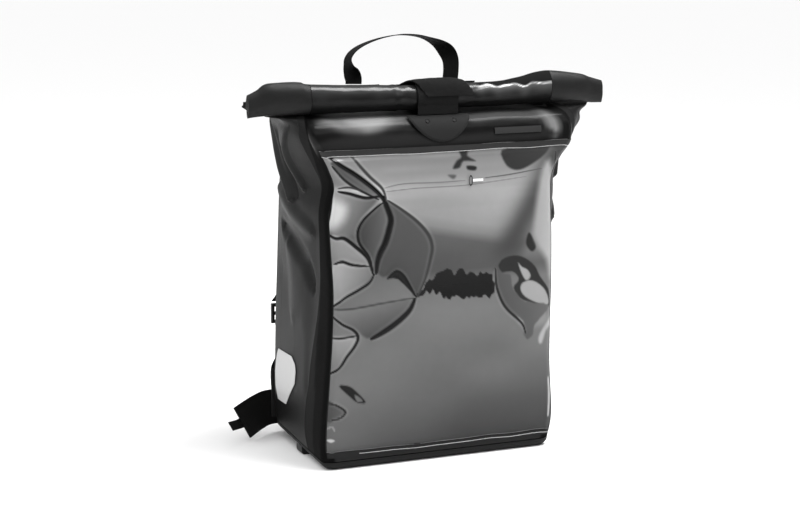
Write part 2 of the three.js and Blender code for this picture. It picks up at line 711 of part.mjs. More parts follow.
// Plain bar at the top right of the front
function frontBar() {
  const place = placeAtFront(BAR_Z);
  const line = (z) => {
    const at = placeAtFront(z);
    const xs = steps(4, BAR_X - BAR_LENGTH / 2, BAR_X + BAR_LENGTH / 2);
    return xs.map((x) => liftedFrontPoint(frontShare(x, place), at, REST_GAP));
  };
  const grid = steps(2, BAR_Z - BAR_HEIGHT / 2, BAR_Z + BAR_HEIGHT / 2).map(line);
  return sheet(grid, BAR_PLY, beforeFront);
}

addPiece("front_bar", frontBar(), "plastic");

// Half round patch that holds the closure tab, with two rivets in it
const patchPlaces = { low: placeAtFront(PATCH_LOW), high: TOP_FRONT_PLACE };

function patchPoint(x, down, lift) {
  const place = lerp(patchPlaces.high, patchPlaces.low, down);
  return liftedFrontPoint(frontShare(PATCH_X + x, place), place, lift);
}

function strapPatch() {
  const grid = steps(7, 0, degToRad(PATCH_TURN)).map((angle) => steps(8, -1, 1).map((share) =>
    patchPoint(share * PATCH_WIDTH / 2 * Math.cos(angle), Math.sin(angle), PATCH_GAP)));
  return sheet(grid, PATCH_PLY, beforeFront);
}

const rivetSeat = (side, lift) => patchPoint(side * RIVET_SPACING / 2, RIVET_DOWN, lift);

function rivet(side, radius, height) {
  const foot = rivetSeat(side, PATCH_GAP);
  const aim = rivetSeat(side, PATCH_GAP + PATCH_PLY).sub(foot).normalize();
  const geometry = new THREE.CylinderGeometry(radius, radius, height, RIVET_SIDES);
  geometry.applyQuaternion(new THREE.Quaternion().setFromUnitVectors(vec(0, 1, 0), aim));
  const middle = foot.addScaledVector(aim, PATCH_PLY / 2);
  geometry.translate(middle.x, middle.y, middle.z);
  return geometry;
}

let patchSolid = toSolid(strapPatch());
for (const side of [LEFT, RIGHT]) {
  patchSolid = patchSolid.subtract(toSolid(rivet(side, RIVET_RADIUS, PATCH_PLY * 4)));
}
addPiece("strap_patch", fromSolid(patchSolid), "webbing");
const rivetRadius = RIVET_RADIUS - RIVET_GAP;
addPiece("rivet_left", rivet(LEFT, rivetRadius, RIVET_HEIGHT), "plastic");
addPiece("rivet_right", rivet(RIGHT, rivetRadius, RIVET_HEIGHT), "plastic");

// Closure tab up the front of the roll, and the strap that comes over it from the back
function overRoll(x, degrees, lift) {
  const turn = (degrees - ROLL_START) / (360 * ROLL_TURNS);
  return rollPoint(x, turn, lift + ROLL_PITCH * ROLL_TURNS * turn);
}

function closureTab() {
  const across = vec(1, 0, 0);
  const start = patchPoint(0, 0, PATCH_GAP);
  const foot = start.clone().add(vec(0, -PATCH_PLY, STRAP_PLY));
  const overs = steps(6, ...TAB_ARC).map((angle) => overRoll(PATCH_X, angle, REST_GAP));
  const route = [foot, ...overs].map((point) => ({ point: point.setX(0), across }));
  return band(route, TAB_WIDTH, STRAP_PLY, beforeFront);
}

function closureStrap() {
  const across = vec(1, 0, 0);
  const lift = REST_GAP + STRAP_PLY + REST_GAP;
  const rise = (k) => STRAP_RISE * Math.sin(Math.PI * k) ** 2;
  const overs = steps(8).map((k) => overRoll(PATCH_X, lerp(...STRAP_ARC, k), lift + rise(k)));
  const endZ = bodyPoint(TOP_FRONT_PLACE, RIGHT, "back", 1).z + 2 * REST_GAP;
  const behind = STRAP_END.map((share) => vec(0, share * DEPTH, endZ));
  const points = [...overs, ...behind];
  const skew = (i) => PATCH_X + STRAP_SKEW * (0.5 - i / (points.length - 1));
  const route = points.map((point, i) => ({ point: point.setX(skew(i)), across }));
  return band(route, STRAP_WIDTH, STRAP_PLY, vec(0, -DEPTH, BODY_TOP * 2));
}

addPiece("closure_tab", closureTab(), "webbing");
addPiece("closure_strap", closureStrap(), "webbing");

// Carry handle on two tabs
function placeAtBackY(y) {
  return solvePlace((k) => -rowAt(sections, k).backY * DEPTH, -y);
}

function topPoint(x, y, lift) {
  const row = rowAt(sections, placeAtBackY(y));
  return vec(x, y, backHeight(row) + lift);
}

function handleAnchor(side) {
  const middle = side * HANDLE_SPAN / 2 + ANCHOR_SHIFT;
  const xs = [middle - ANCHOR_LENGTH / 2, middle, middle + ANCHOR_LENGTH / 2];
  const ys = steps(2, HANDLE_Y - HANDLE_WIDTH / 2, HANDLE_Y + HANDLE_WIDTH / 2);
  const grid = ys.map((y) => xs.map((x) => topPoint(x, y, REST_GAP)));
  return sheet(grid, ANCHOR_PLY, vec(0, 0, BODY_TOP * 2));
}

function carryHandle() {
  const rows = readTable(HANDLE_ROUTE);
  const foot = topPoint(0, HANDLE_Y - HANDLE_SEAT, 3 * REST_GAP + ANCHOR_PLY).z;
  const points = rows.map((row) =>
    vec(row.x * HANDLE_SPAN / 2, HANDLE_Y, foot + row.z * HANDLE_RISE));
  const route = points.map((point, i) => {
    const next = points[Math.min(i + 1, points.length - 1)];
    const along = next.clone().sub(points[Math.max(i - 1, 0)]).normalize();
    const flat = vec(0, 1, 0);
    const facing = flat.clone().cross(along).normalize();
    const angle = rows[i].twist * Math.PI / 2;
    const across = facing.multiplyScalar(Math.cos(angle)).addScaledVector(flat, Math.sin(angle));
    return { point, across };
  });
  return band(route, HANDLE_WIDTH, HANDLE_PLY, vec(0, HANDLE_Y, BODY_TOP));
}

addPiece("handle_anchor_left", handleAnchor(LEFT), "webbing");
addPiece("handle_anchor_right", handleAnchor(RIGHT), "webbing");
addPiece("carry_handle", carryHandle(), "webbing");

// Side reflectors
function reflector(side) {
  const rows = readTable(REFLECTOR_ROWS);
  const point = (y, z) => sidePoint(side, y, z).add(vec(side * REFLECTOR_GAP, 0, 0));
  const grid = steps(8).map((up) => {
    const row = rowBetween(rows, up);
    const z = REFLECTOR_LOW + up * REFLECTOR_HEIGHT;
    return steps(4, row.from, row.to).map((share) =>
      point(REFLECTOR_FRONT + share * REFLECTOR_DEPTH, z));
  });
  return sheet(grid, REFLECTOR_PLY, vec(side * WIDTH, 0, REFLECTOR_LOW));
}

// Straight run between the two rows of a table on either side of a height
function rowBetween(rows, up) {
  const i = clamp(rows.findIndex((row) => row.up >= up), 1, rows.length - 1);
  const [a, b] = [rows[i - 1], rows[i]];
  const k = clamp((up - a.up) / (b.up - a.up), 0, 1);
  return { from: lerp(a.from, b.from, k), to: lerp(a.to, b.to, k) };
}

addPiece("reflector_left", reflector(LEFT), "reflector");
addPiece("reflector_right", reflector(RIGHT), "reflector");

// Pads on the back
const behindBack = vec(0, DEPTH * 3, BODY_TOP / 2);

function backPad(half, low, high, rows) {
  const grid = steps(rows, low, high).map((z) => steps(4, -half, half).map((x) =>
    backPoint(x, z, REST_GAP)));
  return sheet(grid, PAD_THICK, behindBack);
}

addPiece("back_pad", backPad(BACK_PAD_HALF, BACK_PAD_LOW, BACK_PAD_HIGH, 10), "cloth");
addPiece("lumbar_pad", backPad(LUMBAR_HALF, LUMBAR_LOW, LUMBAR_HIGH, 2), "cloth");

// Shoulder straps, their ladder buckles and the webbing below them
const padBack = HALF_DEPTH + REST_GAP + PAD_THICK;

for (const [side, name] of [[LEFT, "left"], [RIGHT, "right"]]) {
  const rows = readTable(SHOULDER_ROUTE);
  const route = rows.map((row) => ({
    point: backPoint(side * row.x * HALF_WIDTH, row.z * BODY_TOP, 0)
      .add(vec(0, REST_GAP + row.stand * SHOULDER_REACH, 0)),
    across: vec(row.wide, 0, 0),
  }));
  const strap = band(route, SHOULDER_WIDTH, SHOULDER_THICK, behindBack);
  addPiece(`shoulder_strap_${name}`, strap, "cloth");

  const end = route[route.length - 1].point;
  const slotHeight = (BUCKLE_HEIGHT - 3 * BUCKLE_RIM) / 2;
  const slotHalf = BUCKLE_WIDTH / 2 - BUCKLE_RIM;
  const frame = new THREE.Shape();
  frame.moveTo(-BUCKLE_WIDTH / 2, 0);
  frame.lineTo(BUCKLE_WIDTH / 2, 0);
  frame.lineTo(BUCKLE_WIDTH / 2, BUCKLE_HEIGHT);
  frame.lineTo(-BUCKLE_WIDTH / 2, BUCKLE_HEIGHT);
  frame.closePath();
  for (const low of [BUCKLE_RIM, 2 * BUCKLE_RIM + slotHeight]) {
    const slot = new THREE.Path();
    slot.moveTo(-slotHalf, low);
    slot.lineTo(-slotHalf, low + slotHeight);
    slot.lineTo(slotHalf, low + slotHeight);
    slot.lineTo(slotHalf, low);
    slot.closePath();
    frame.holes.push(slot);
  }
  const buckle = new THREE.ExtrudeGeometry(frame, { depth: BUCKLE_THICK, bevelEnabled: false });
  buckle.rotateX(Math.PI / 2);
  const buckleTop = end.z - SHOULDER_THICK / 2;
  buckle.translate(end.x, end.y + BUCKLE_THICK + BUCKLE_SET, buckleTop - BUCKLE_HEIGHT);
  addPiece(`buckle_${name}`, buckle, "plastic");

  const lowX = side * (LUMBAR_HALF - WEBBING_INSET);
  const low = vec(lowX, padBack + REST_GAP, (LUMBAR_LOW + LUMBAR_HIGH) / 2);
  const high = vec(end.x, end.y + BUCKLE_SET, buckleTop - BUCKLE_HEIGHT - REST_GAP);
  const across = vec(1, 0, 0);
  const seat = low.clone().setZ(LUMBAR_HIGH);
  const webbing = [
    { point: low, across },
    { point: seat, across },
    { point: seat.clone().lerp(high, 0.5).add(vec(-side * WEBBING_SLACK, 0, 0)), across },
    { point: high, across },
  ];
  addPiece(`webbing_${name}`, band(webbing, WEBBING_WIDTH, WEBBING_PLY, behindBack), "webbing");
}

// Hip fins that curl forward, with their loose webbing
for (const [side, name] of [[LEFT, "left"], [RIGHT, "right"]]) {
  const rows = readTable(BELT_ROUTE);
  const behindPad = padBack + REST_GAP + WEBBING_PLY + REST_GAP;
  const route = rows.map((row) => ({
    point: vec(
      side * (LUMBAR_HALF + row.out * BELT_REACH),
      behindPad - row.front * BELT_CURL,
      row.z * BELT_WIDTH,
    ),
    across: vec(side * row.slant, 0, 1).normalize(),
  }));
  addPiece(`belt_fin_${name}`, band(route, BELT_WIDTH, BELT_PLY, behindBack), "webbing");
  const [near, tip] = route.slice(-2);
  const run = tip.point.clone().sub(near.point);
  const tail = BELT_TAIL.map(({ along, up }) => {
    const across = near.across.clone().lerp(tip.across, Math.min(along, 1)).normalize();
    const off = run.clone().cross(across).normalize();
    off.multiplyScalar(Math.sign(off.y) * (BELT_PLY + 2 * REST_GAP));
    const point = near.point.clone().addScaledVector(run, along).add(off);
    return { point: point.add(vec(0, 0, up * TAIL_WIDTH)), across };
  });
  addPiece(`belt_webbing_${name}`, band(tail, TAIL_WIDTH, WEBBING_PLY, behindBack), "webbing");
}

export default group;
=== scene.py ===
"""Roll-top courier backpack: its looks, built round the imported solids.

Lengths are in millimetres and become metres when a mesh is made. The front faces -Y, +X is
to the right seen from the front, and the origin is on the floor, in the middle of the front
foot rail. Greys are given as display values from 0 to 255.
"""

from __future__ import annotations

import logging
import math
from dataclasses import dataclass, field
from enum import Enum
from itertools import product
from typing import Callable, ClassVar, Iterator, Sequence

import bpy
import numpy as np
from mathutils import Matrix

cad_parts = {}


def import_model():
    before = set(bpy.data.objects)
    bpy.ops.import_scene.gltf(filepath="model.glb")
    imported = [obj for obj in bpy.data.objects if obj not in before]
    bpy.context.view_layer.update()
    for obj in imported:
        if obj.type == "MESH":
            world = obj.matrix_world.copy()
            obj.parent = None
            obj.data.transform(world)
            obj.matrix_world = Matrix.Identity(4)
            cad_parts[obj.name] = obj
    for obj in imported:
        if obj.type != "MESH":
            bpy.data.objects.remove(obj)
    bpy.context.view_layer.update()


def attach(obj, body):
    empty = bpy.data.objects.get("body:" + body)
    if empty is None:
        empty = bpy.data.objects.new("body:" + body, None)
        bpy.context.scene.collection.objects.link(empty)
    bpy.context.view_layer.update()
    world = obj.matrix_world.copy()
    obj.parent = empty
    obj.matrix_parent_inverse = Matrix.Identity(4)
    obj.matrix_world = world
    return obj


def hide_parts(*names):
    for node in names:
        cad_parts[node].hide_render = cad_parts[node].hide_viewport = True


LOG = logging.getLogger("backpack")
Array = np.ndarray
MM = 0.001

# What keeps a divisor off 0, and how often `solve` halves its range.
TINY = 1e-9
HALVINGS = 26

# Numbers that stir the corners of the noise's cells.
HASH_PRIMES = (73856093, 19349663, 83492791)
HASH_SEED, HASH_START, HASH_MIX, HASH_MASK = 40503, 17, 1274126177, 0xFFFF

# The display's curve, from grey to light.
DISPLAY_WHITE = 255
CURVE_KNEE, CURVE_SLOPE, CURVE_OFFSET, CURVE_POWER = 0.04045, 12.92, 0.055, 2.4


class Side(Enum):
    """Side of the bag, seen from the front."""

    LEFT = -1
    RIGHT = 1

    @property
    def word(self) -> str:
        """The side in the names of pieces."""
        return self.name.lower()


class Region(Enum):
    """Stretch of a half section of the body, from the middle of the front to the back's."""

    FRONT = "front"
    FRONT_CORNER = "front corner"
    SIDE = "side"
    BACK_CORNER = "back corner"
    BACK = "back"


def read_table(text: str) -> dict[str, Array]:
    """Reads a table whose first line names its columns.

    Args:
        text: the table, one row a line.

    Returns:
        Each column as an array.
    """
    names, *rows = [line.split() for line in text.strip().splitlines()]
    values = np.array(rows, float)
    return {name: values[:, i] for i, name in enumerate(names)}


def read_places(text: str) -> Iterator[tuple[list[float], tuple[tuple[float, float], ...]]]:
    """Reads entries that end with a semicolon: numbers, a colon and places in a plane.

    Args:
        text: the entries.

    Returns:
        The numbers and the places of each, one entry after the other.
    """
    for entry in text.split(";")[:-1]:
        numbers, flat = ([float(word) for word in part.split()] for part in entry.split(":"))
        yield numbers, tuple(zip(flat[::2], flat[1::2]))


def cubic(values: Array, place: Array) -> Array:
    """Runs a smooth curve through the rows of a column or of a list of points.

    Between two rows it is the cubic whose slope at a row is half the step between the rows
    on its two sides.

    Args:
        values: the rows, along the first axis.
        place: where to read it, from 0 at the first row to 1 at the last.

    Returns:
        The values at those places.
    """
    last = len(values) - 1
    at = np.clip(place, 0, 1) * last
    low = np.minimum(at.astype(int), last - 1)
    k = at - low
    if values.ndim > 1:
        k = k[..., None]
    a, b, c, d = (values[np.clip(low + step, 0, last)] for step in (-1, 0, 1, 2))
    slope_b, slope_c = (c - a) / 2, (d - b) / 2
    bend = 2 * (b - c) + slope_b + slope_c
    rise = 3 * (c - b) - 2 * slope_b - slope_c
    return ((bend * k + rise) * k + slope_b) * k + b


def solve(rising: Callable[[Array], Array], value: Array) -> Array:
    """Halves the range from 0 to 1 until a rising function of it reaches a value.

    Args:
        rising: the function.
        value: what it has to reach, one for each place.

    Returns:
        The places.
    """
    low = np.zeros_like(value, float)
    high = np.ones_like(value, float)
    for _ in range(HALVINGS):
        middle = (low + high) / 2
        below = rising(middle) < value
        low = np.where(below, middle, low)
        high = np.where(below, high, middle)
    return (low + high) / 2


def smooth(value: Array, low: float, high: float) -> Array:
    """Goes from 0 at `low` to 1 at `high` with a level start and end."""
    k = np.clip((value - low) / (high - low), 0, 1)
    return k * k * (3 - 2 * k)


def noise(points: Array, size: float, seed: int) -> Array:
    """Smooth noise from -1 to 1: random values at the corners of cells, blended across them.

    Args:
        points: places, with two or three numbers each.
        size: width of a cell.
        seed: picks another pattern.

    Returns:
        One value for each point.
    """
    cell = points / size
    base = np.floor(cell).astype(np.int64)
    k = cell - base
    k = k * k * (3 - 2 * k)
    total = np.zeros(points.shape[:-1])
    for corner in product((0, 1), repeat=points.shape[-1]):
        mixed = np.full(points.shape[:-1], seed * HASH_SEED + HASH_START, np.int64)
        weight = np.ones(points.shape[:-1])
        for axis, step in enumerate(corner):
            mixed = mixed ^ ((base[..., axis] + step) * HASH_PRIMES[axis])
            weight = weight * (k[..., axis] if step else 1 - k[..., axis])
        mixed = (mixed ^ (mixed >> 13)) * HASH_MIX
        mixed = mixed ^ (mixed >> 16)
        total += weight * ((mixed & HASH_MASK) / (HASH_MASK / 2) - 1)
    return total


def waves(points: Array, *layers: tuple[float, int, float]) -> Array:
    """Sum of noises, each given by the width of its cells, its seed and its height."""
    return sum(noise(points, size, seed) * height for size, seed, height in layers)


def along_x(x: Array) -> Array:
    """Places in a plane that lie on its first axis, for a noise that varies along it alone."""
    return np.stack([x, 0 * x], axis=-1)


def line_distance(points: Array, line: Array) -> tuple[Array, Array]:
    """Finds how far points lie from a line of straight stretches.

    Args:
        points: places in a plane.
        line: the corners of the line.

    Returns:
        The distances, and how far along the line the nearest place is, from 0 to 1.
    """
    best = np.full(points.shape[:-1], np.inf)
    along = np.zeros(points.shape[:-1])
    count = len(line) - 1
    for i in range(count):
        run = line[i + 1] - line[i]
        offset = points - line[i]
        k = np.clip((offset @ run) / max(run @ run, TINY), 0, 1)
        away = np.linalg.norm(offset - k[..., None] * run, axis=-1)
        nearer = away < best
        best = np.where(nearer, away, best)
        along = np.where(nearer, (i + k) / count, along)
    return best, along


def inside(points: Array, outline: Array) -> Array:
    """Tells which points a closed outline holds, by counting its crossings to their right.

    Args:
        points: places in a plane.
        outline: its corners.

    Returns:
        True or False for each point.
    """
    x, z = points[..., 0], points[..., 1]
    held = np.zeros(x.shape, bool)
    for (ax, az), (bx, bz) in zip(outline, np.roll(outline, -1, axis=0)):
        crosses = (az > z) != (bz > z)
        rise = bz - az if bz != az else TINY
        held ^= crosses & (x < (bx - ax) * (z - az) / rise + ax)
    return held


def unit(vectors: Array) -> Array:
    """Vectors of length 1 with the same directions."""
    return vectors / np.maximum(np.linalg.norm(vectors, axis=-1, keepdims=True), TINY)


def grid_normals(grid: Array) -> Array:
    """Unit normals of a grid of points, from the steps between its neighbours."""
    return unit(np.cross(np.gradient(grid, axis=1), np.gradient(grid, axis=0)))


def looks_at(grid: Array, place: Array) -> bool:
    """Tells whether the normal in the middle of a grid points to the side of a place."""
    row, column = grid.shape[0] // 2, grid.shape[1] // 2
    aim = np.asarray(place, float) - grid[row, column]
    return grid_normals(grid)[row, column] @ aim >= 0


def lifted(grid: Array, lift: Array | float, towards: Array) -> Array:
    """Moves a grid along its normals, on the side of a point.

    Args:
        grid: the points, in rows and columns.
        lift: how far, one number or one a point.
        towards: a point on the side to which they move.

    Returns:
        The moved grid.
    """
    turn = 1 if looks_at(grid, towards) else -1
    return grid + turn * grid_normals(grid) * np.asarray(lift)[..., None]


def grid_faces(rows: int, columns: int, start: int = 0, turned: bool = False) -> Array:
    """Four-sided faces between the points of a grid, in the order of the grid's rows.

    Args:
        rows: of the grid.
        columns: of the grid.
        start: number of its first point.
        turned: whether the faces look the other way.

    Returns:
        The corners of each face.
    """
    index = np.arange(rows * columns).reshape(rows, columns) + start
    corners = [index[:-1, :-1], index[:-1, 1:], index[1:, 1:], index[1:, :-1]]
    quads = np.stack(corners, axis=-1).reshape(-1, 4)
    return quads[:, ::-1] if turned else quads


def arc_uv(grid: Array) -> Array:
    """Lays a grid flat: its columns and rows at their mean distance along it, in metres.

    Args:
        grid: the points.

    Returns:
        The place of each laid flat.
    """
    across = np.linalg.norm(np.diff(grid, axis=1), axis=-1).mean(axis=0)
    down = np.linalg.norm(np.diff(grid, axis=0), axis=-1).mean(axis=1)
    u = np.concatenate([[0], np.cumsum(across)])
    v = np.concatenate([[0], np.cumsum(down)])
    return np.stack(np.meshgrid(u, v), axis=-1) * MM


@dataclass
class Surface:
    """A mesh in the making: its points, faces, flat map and named values.

    Attributes:
        points: places in millimetres.
        faces: corners of each face.
        flat: place of each point on the cloth laid flat, in metres.
        values: further numbers for each point, which finishes may read.
    """

    points: Array
    faces: Array
    flat: Array
    values: dict[str, Array] = field(default_factory=dict)

    @classmethod
    def open_grid(cls, grid: Array, outside: Array, **values: Array) -> Surface:
        """A single layer of a grid, whose faces point towards `outside`.

        Args:
            grid: the points.
            outside: a point on the side that the faces look to.
            values: further numbers for each point.

        Returns:
            The surface.
        """
        rows, columns = grid.shape[:2]
        faces = grid_faces(rows, columns, turned=looks_at(grid, outside))
        flat = {name: value.reshape(-1) for name, value in values.items()}
        return cls(grid.reshape(-1, 3), faces, arc_uv(grid).reshape(-1, 2), flat)

    @classmethod
    def sheet(cls, grid: Array, thickness: Array | float, towards: Array,
              **values: Array) -> Surface:
        """Closed sheet of cloth: a grid, the same grid moved by its thickness, and a rim.

        Args:
            grid: one face of the sheet.
            thickness: one number or one a point.
            towards: a point on the side of the second face.
            values: further numbers for each point of the grid.

        Returns:
            The closed surface, its faces pointing out.
        """
        rows, columns = grid.shape[:2]
        other = lifted(grid, thickness, towards)
        count = rows * columns
        index = np.arange(count).reshape(rows, columns)
        ring = np.concatenate([index[0, :-1], index[:-1, -1], index[-1, :0:-1], index[:0:-1, 0]])
        after = np.roll(ring, -1)
        rim = np.stack([after, ring, ring + count, after + count], axis=-1)
        faces = np.concatenate([
            grid_faces(rows, columns),
            grid_faces(rows, columns, count, True),
            rim,
        ])
        points = np.concatenate([grid.reshape(-1, 3), other.reshape(-1, 3)])
        flat = np.tile(arc_uv(grid).reshape(-1, 2), (2, 1))
        both = {name: np.tile(value.reshape(-1), 2) for name, value in values.items()}
        surface = cls(points, faces, flat, both)
        middle = points.mean(axis=0)
        a, b, c = (points[faces[:, i]] - middle for i in (0, 1, 2))
        d = points[faces[:, 3]] - middle
        volume = (a * np.cross(b, c)).sum() + (a * np.cross(c, d)).sum()
        if volume < 0:
            surface.faces = faces[:, ::-1]
        return surface

    def build(self, name: str, finish: Finish, *nodes: str, crease: float = 40
              ) -> bpy.types.Object:
        """Makes the mesh and its object, dresses it and fixes it to the bag.

        Args:
            name: the piece's name.
            finish: what it is made of, with its slot of the record.
            nodes: the solids that it takes the place of.
            crease: degrees past which an edge between faces is sharp.

        Returns:
            The object.
        """
        mesh = bpy.data.meshes.new(name)
        mesh.from_pydata((self.points * MM).tolist(), [], self.faces.tolist())
        corners = np.zeros(len(mesh.loops), np.int32)
        mesh.loops.foreach_get("vertex_index", corners)
        layer = mesh.uv_layers.new(name="flat")
        layer.data.foreach_set("uv", self.flat[corners].astype(np.float32).reshape(-1))
        for value_name, value in self.values.items():
            attribute = mesh.attributes.new(value_name, "FLOAT", "POINT")
            attribute.data.foreach_set("value", value.astype(np.float32))
        mesh.shade_smooth()
        mesh.set_sharp_from_angle(angle=math.radians(crease))
        mesh.materials.append(finish.material())
        piece = bpy.data.objects.new(name, mesh)
        bpy.context.scene.collection.objects.link(piece)
        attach(piece, "root")
        if nodes:
            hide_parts(*nodes)
        LOG.info("%s: %d faces", name, len(self.faces))
        return piece


class Value:
    """A number in a shader. Arithmetic on it adds Math nodes to its tree."""

    def __init__(self, shader: Shader, socket: bpy.types.NodeSocket) -> None:
        """Keeps the shader and the socket that gives the number."""
        self.shader = shader
        self.socket = socket

    def math(self, operation: str, *others: Value | float) -> Value:
        """Adds one Math node with this value first."""
        node = self.shader.node("ShaderNodeMath", {"operation": operation}, self, *others)
        return Value(self.shader, node.outputs[0])

    def __add__(self, other: Value | float) -> Value:
        """Sum."""
        return self.math("ADD", other)

    __radd__ = __add__

    def __mul__(self, other: Value | float) -> Value:
        """Product."""
        return self.math("MULTIPLY", other)

    __rmul__ = __mul__

    def __sub__(self, other: Value | float) -> Value:
        """Difference."""
        return self.math("SUBTRACT", other)

    def __rsub__(self, other: float) -> Value:
        """Difference with this value last."""
        return (self * -1) + other

    def wave(self, length: float) -> Value:
        """Sine with one crest a length."""
        return (self * (math.tau / length)).math("SINE")


class Shader:
    """Node tree of one material."""

    def __init__(self, name: str) -> None:
        """Makes the material with its Principled shader and its output."""
        self.material = bpy.data.materials.new(name)
        self.material.use_nodes = True
        self.tree = self.material.node_tree
        self.surface = self.tree.nodes["Principled BSDF"]

    def feed(self, socket: bpy.types.NodeSocket, value: object) -> None:
        """Links a value or another socket to a socket, or sets it to a constant."""
        if isinstance(value, Value):
            value = value.socket
        if isinstance(value, bpy.types.NodeSocket):
            self.tree.links.new(value, socket)
        elif value is not None:
            socket.default_value = value

    def node(self, kind: str, settings: dict[str, object], *inputs: object) -> bpy.types.Node:
        """Adds a node.

        Args:
            kind: its type.
            settings: its properties.
            inputs: values or constants for its sockets, in their order, None to leave one.

        Returns:
            The node.
        """
        node = self.tree.nodes.new(kind)
        for name, value in settings.items():
            setattr(node, name, value)
        for socket, value in zip(node.inputs, inputs):
            self.feed(socket, value)
        return node

    def set(self, **values: object) -> None:
        """Sets or links sockets of the Principled shader, named with _ for a space."""
        for name, value in values.items():
            self.feed(self.surface.inputs[name.replace("_", " ")], value)

    def place(self) -> bpy.types.NodeSocket:
        """Object coordinates."""
        return self.node("ShaderNodeTexCoord", {}).outputs["Object"]

    def flat(self) -> tuple[Value, Value]:
        """The cloth's own coordinates laid flat, in metres, across and down."""
        uv = self.node("ShaderNodeUVMap", {"uv_map": "flat"}).outputs[0]
        split = self.node("ShaderNodeSeparateXYZ", {}, uv)
        return Value(self, split.outputs[0]), Value(self, split.outputs[1])

    def attribute(self, name: str) -> Value:
        """A value that the mesh gives each of its points."""
        node = self.node("ShaderNodeAttribute", {"attribute_name": name})
        return Value(self, node.outputs["Fac"])

    def noise(self, scale: float, detail: float = 2, rough: float = 0.5) -> Value:
        """Noise over Object coordinates, from 0 to 1."""
        node = self.node("ShaderNodeTexNoise", {}, self.place(), None, scale, detail, rough)
        return Value(self, node.outputs[0])

    def grey(self, value: Value) -> bpy.types.NodeSocket:
        """A neutral colour with a value's brightness."""
        node = self.node("ShaderNodeCombineColor", {}, value, value, value)
        return node.outputs[0]

    def bump(self, height: Value, depth: float, strength: float = 1.0) -> None:
        """Raises the surface by a height, whose 0 to 1 stands for `depth` metres."""
        node = self.node("ShaderNodeBump", {})
        for name, value in {"Strength": strength, "Distance": depth, "Height": height}.items():
            self.feed(node.inputs[name], value)
        self.set(Normal=node.outputs[0])


def linear(grey: float | Array) -> float | Array:
    """Amount of light of a display grey from 0 to 255, by the display's curve."""
    share = np.asarray(grey, float) / DISPLAY_WHITE
    bright = ((share + CURVE_OFFSET) / (1 + CURVE_OFFSET)) ** CURVE_POWER
    return np.where(share <= CURVE_KNEE, share / CURVE_SLOPE, bright)


@dataclass(frozen=True)
class Finish:
    """What a piece is made of.

    Attributes:
        name: the material's name.
        slot: the record's slot; nothing here reads it.
        tone: its grey, from 0 to 255.
        roughness: of its surface.
        specular: level of its plain reflection.
        spread: share by which its pattern changes the grey, to both sides.
        relief: depth of its pattern, in metres.
        strength: share of the relief that shows.
    """

    name: str
    slot: str
    tone: float
    roughness: float
    specular: float = 0.5
    spread: float = 0.0
    relief: float = 0.0
    strength: float = 0.0
    made: ClassVar[dict[str, bpy.types.Material]] = {}

    def material(self) -> bpy.types.Material:
        """Gives the material, and makes it the first time."""
        if self.name in self.made:
            return self.made[self.name]
        shader = Shader(self.name)
        self.made[self.name] = shader.material
        tone = float(linear(self.tone))
        shader.set(Base_Color=(tone, tone, tone, 1), Roughness=self.roughness,
                   Specular_IOR_Level=self.specular)
        self.dress(shader)
        return shader.material

    def dress(self, shader: Shader) -> None:
        """Adds the finish's own pattern."""

    def shaded(self, shader: Shader, pattern: Value) -> None:
        """Varies the grey with a pattern from 0 to 1, and by the mesh's value `shade`."""
        tone = float(linear(self.tone))
        low, high = tone * (1 - self.spread), tone * (1 + self.spread)
        # The mesh's value `shade` is painted light and shade of the folds.
        shade = shader.attribute("shade") + 1
        shader.set(Base_Color=shader.grey((pattern * (high - low) + low) * shade))


@dataclass(frozen=True)
class Plastic(Finish):
    """Moulded plastic with a fine grain, in `grain` cells a metre."""

    specular: float = 0.25
    spread: float = 0.15
    relief: float = 0.0001
    strength: float = 0.3
    grain: float = 900

    def dress(self, shader: Shader) -> None:
        """Adds the grain."""
        pattern = shader.noise(self.grain)
        self.shaded(shader, pattern)
        shader.bump(pattern, self.relief, self.strength)


@dataclass(frozen=True)
class Woven(Finish):
    """Matte coated cloth whose plain weave shows.

    Attributes:
        thread: distance from one thread to the next, in metres.
        cloud: size of the clouds, in cells a metre.
        grain: size of the grain, in cells a metre.
    """

    specular: float = 0.2
    spread: float = 0.288
    relief: float = 0.00012
    strength: float = 0.7
    thread: float = 0.0011
    cloud: float = 24
    grain: float = 340

    def dress(self, shader: Shader) -> None:
        """Weave: product of a wave across and one down. Clouds and grain: wide and fine noise.

        The grey is two parts of clouds, two of grain and one of weave, and the relief has
        the clouds and the weave the other way round.
        """
        across, down = shader.flat()
        weave = across.wave(self.thread) * down.wave(self.thread)
        clouds, grain = shader.noise(self.cloud, 3), shader.noise(self.grain, 2)
        self.shaded(shader, clouds * 0.4 + grain * 0.4 + (weave * 0.5 + 0.5) * 0.2)
        shader.bump(weave * 0.4 + grain * 0.4 + clouds * 0.2, self.relief, self.strength)


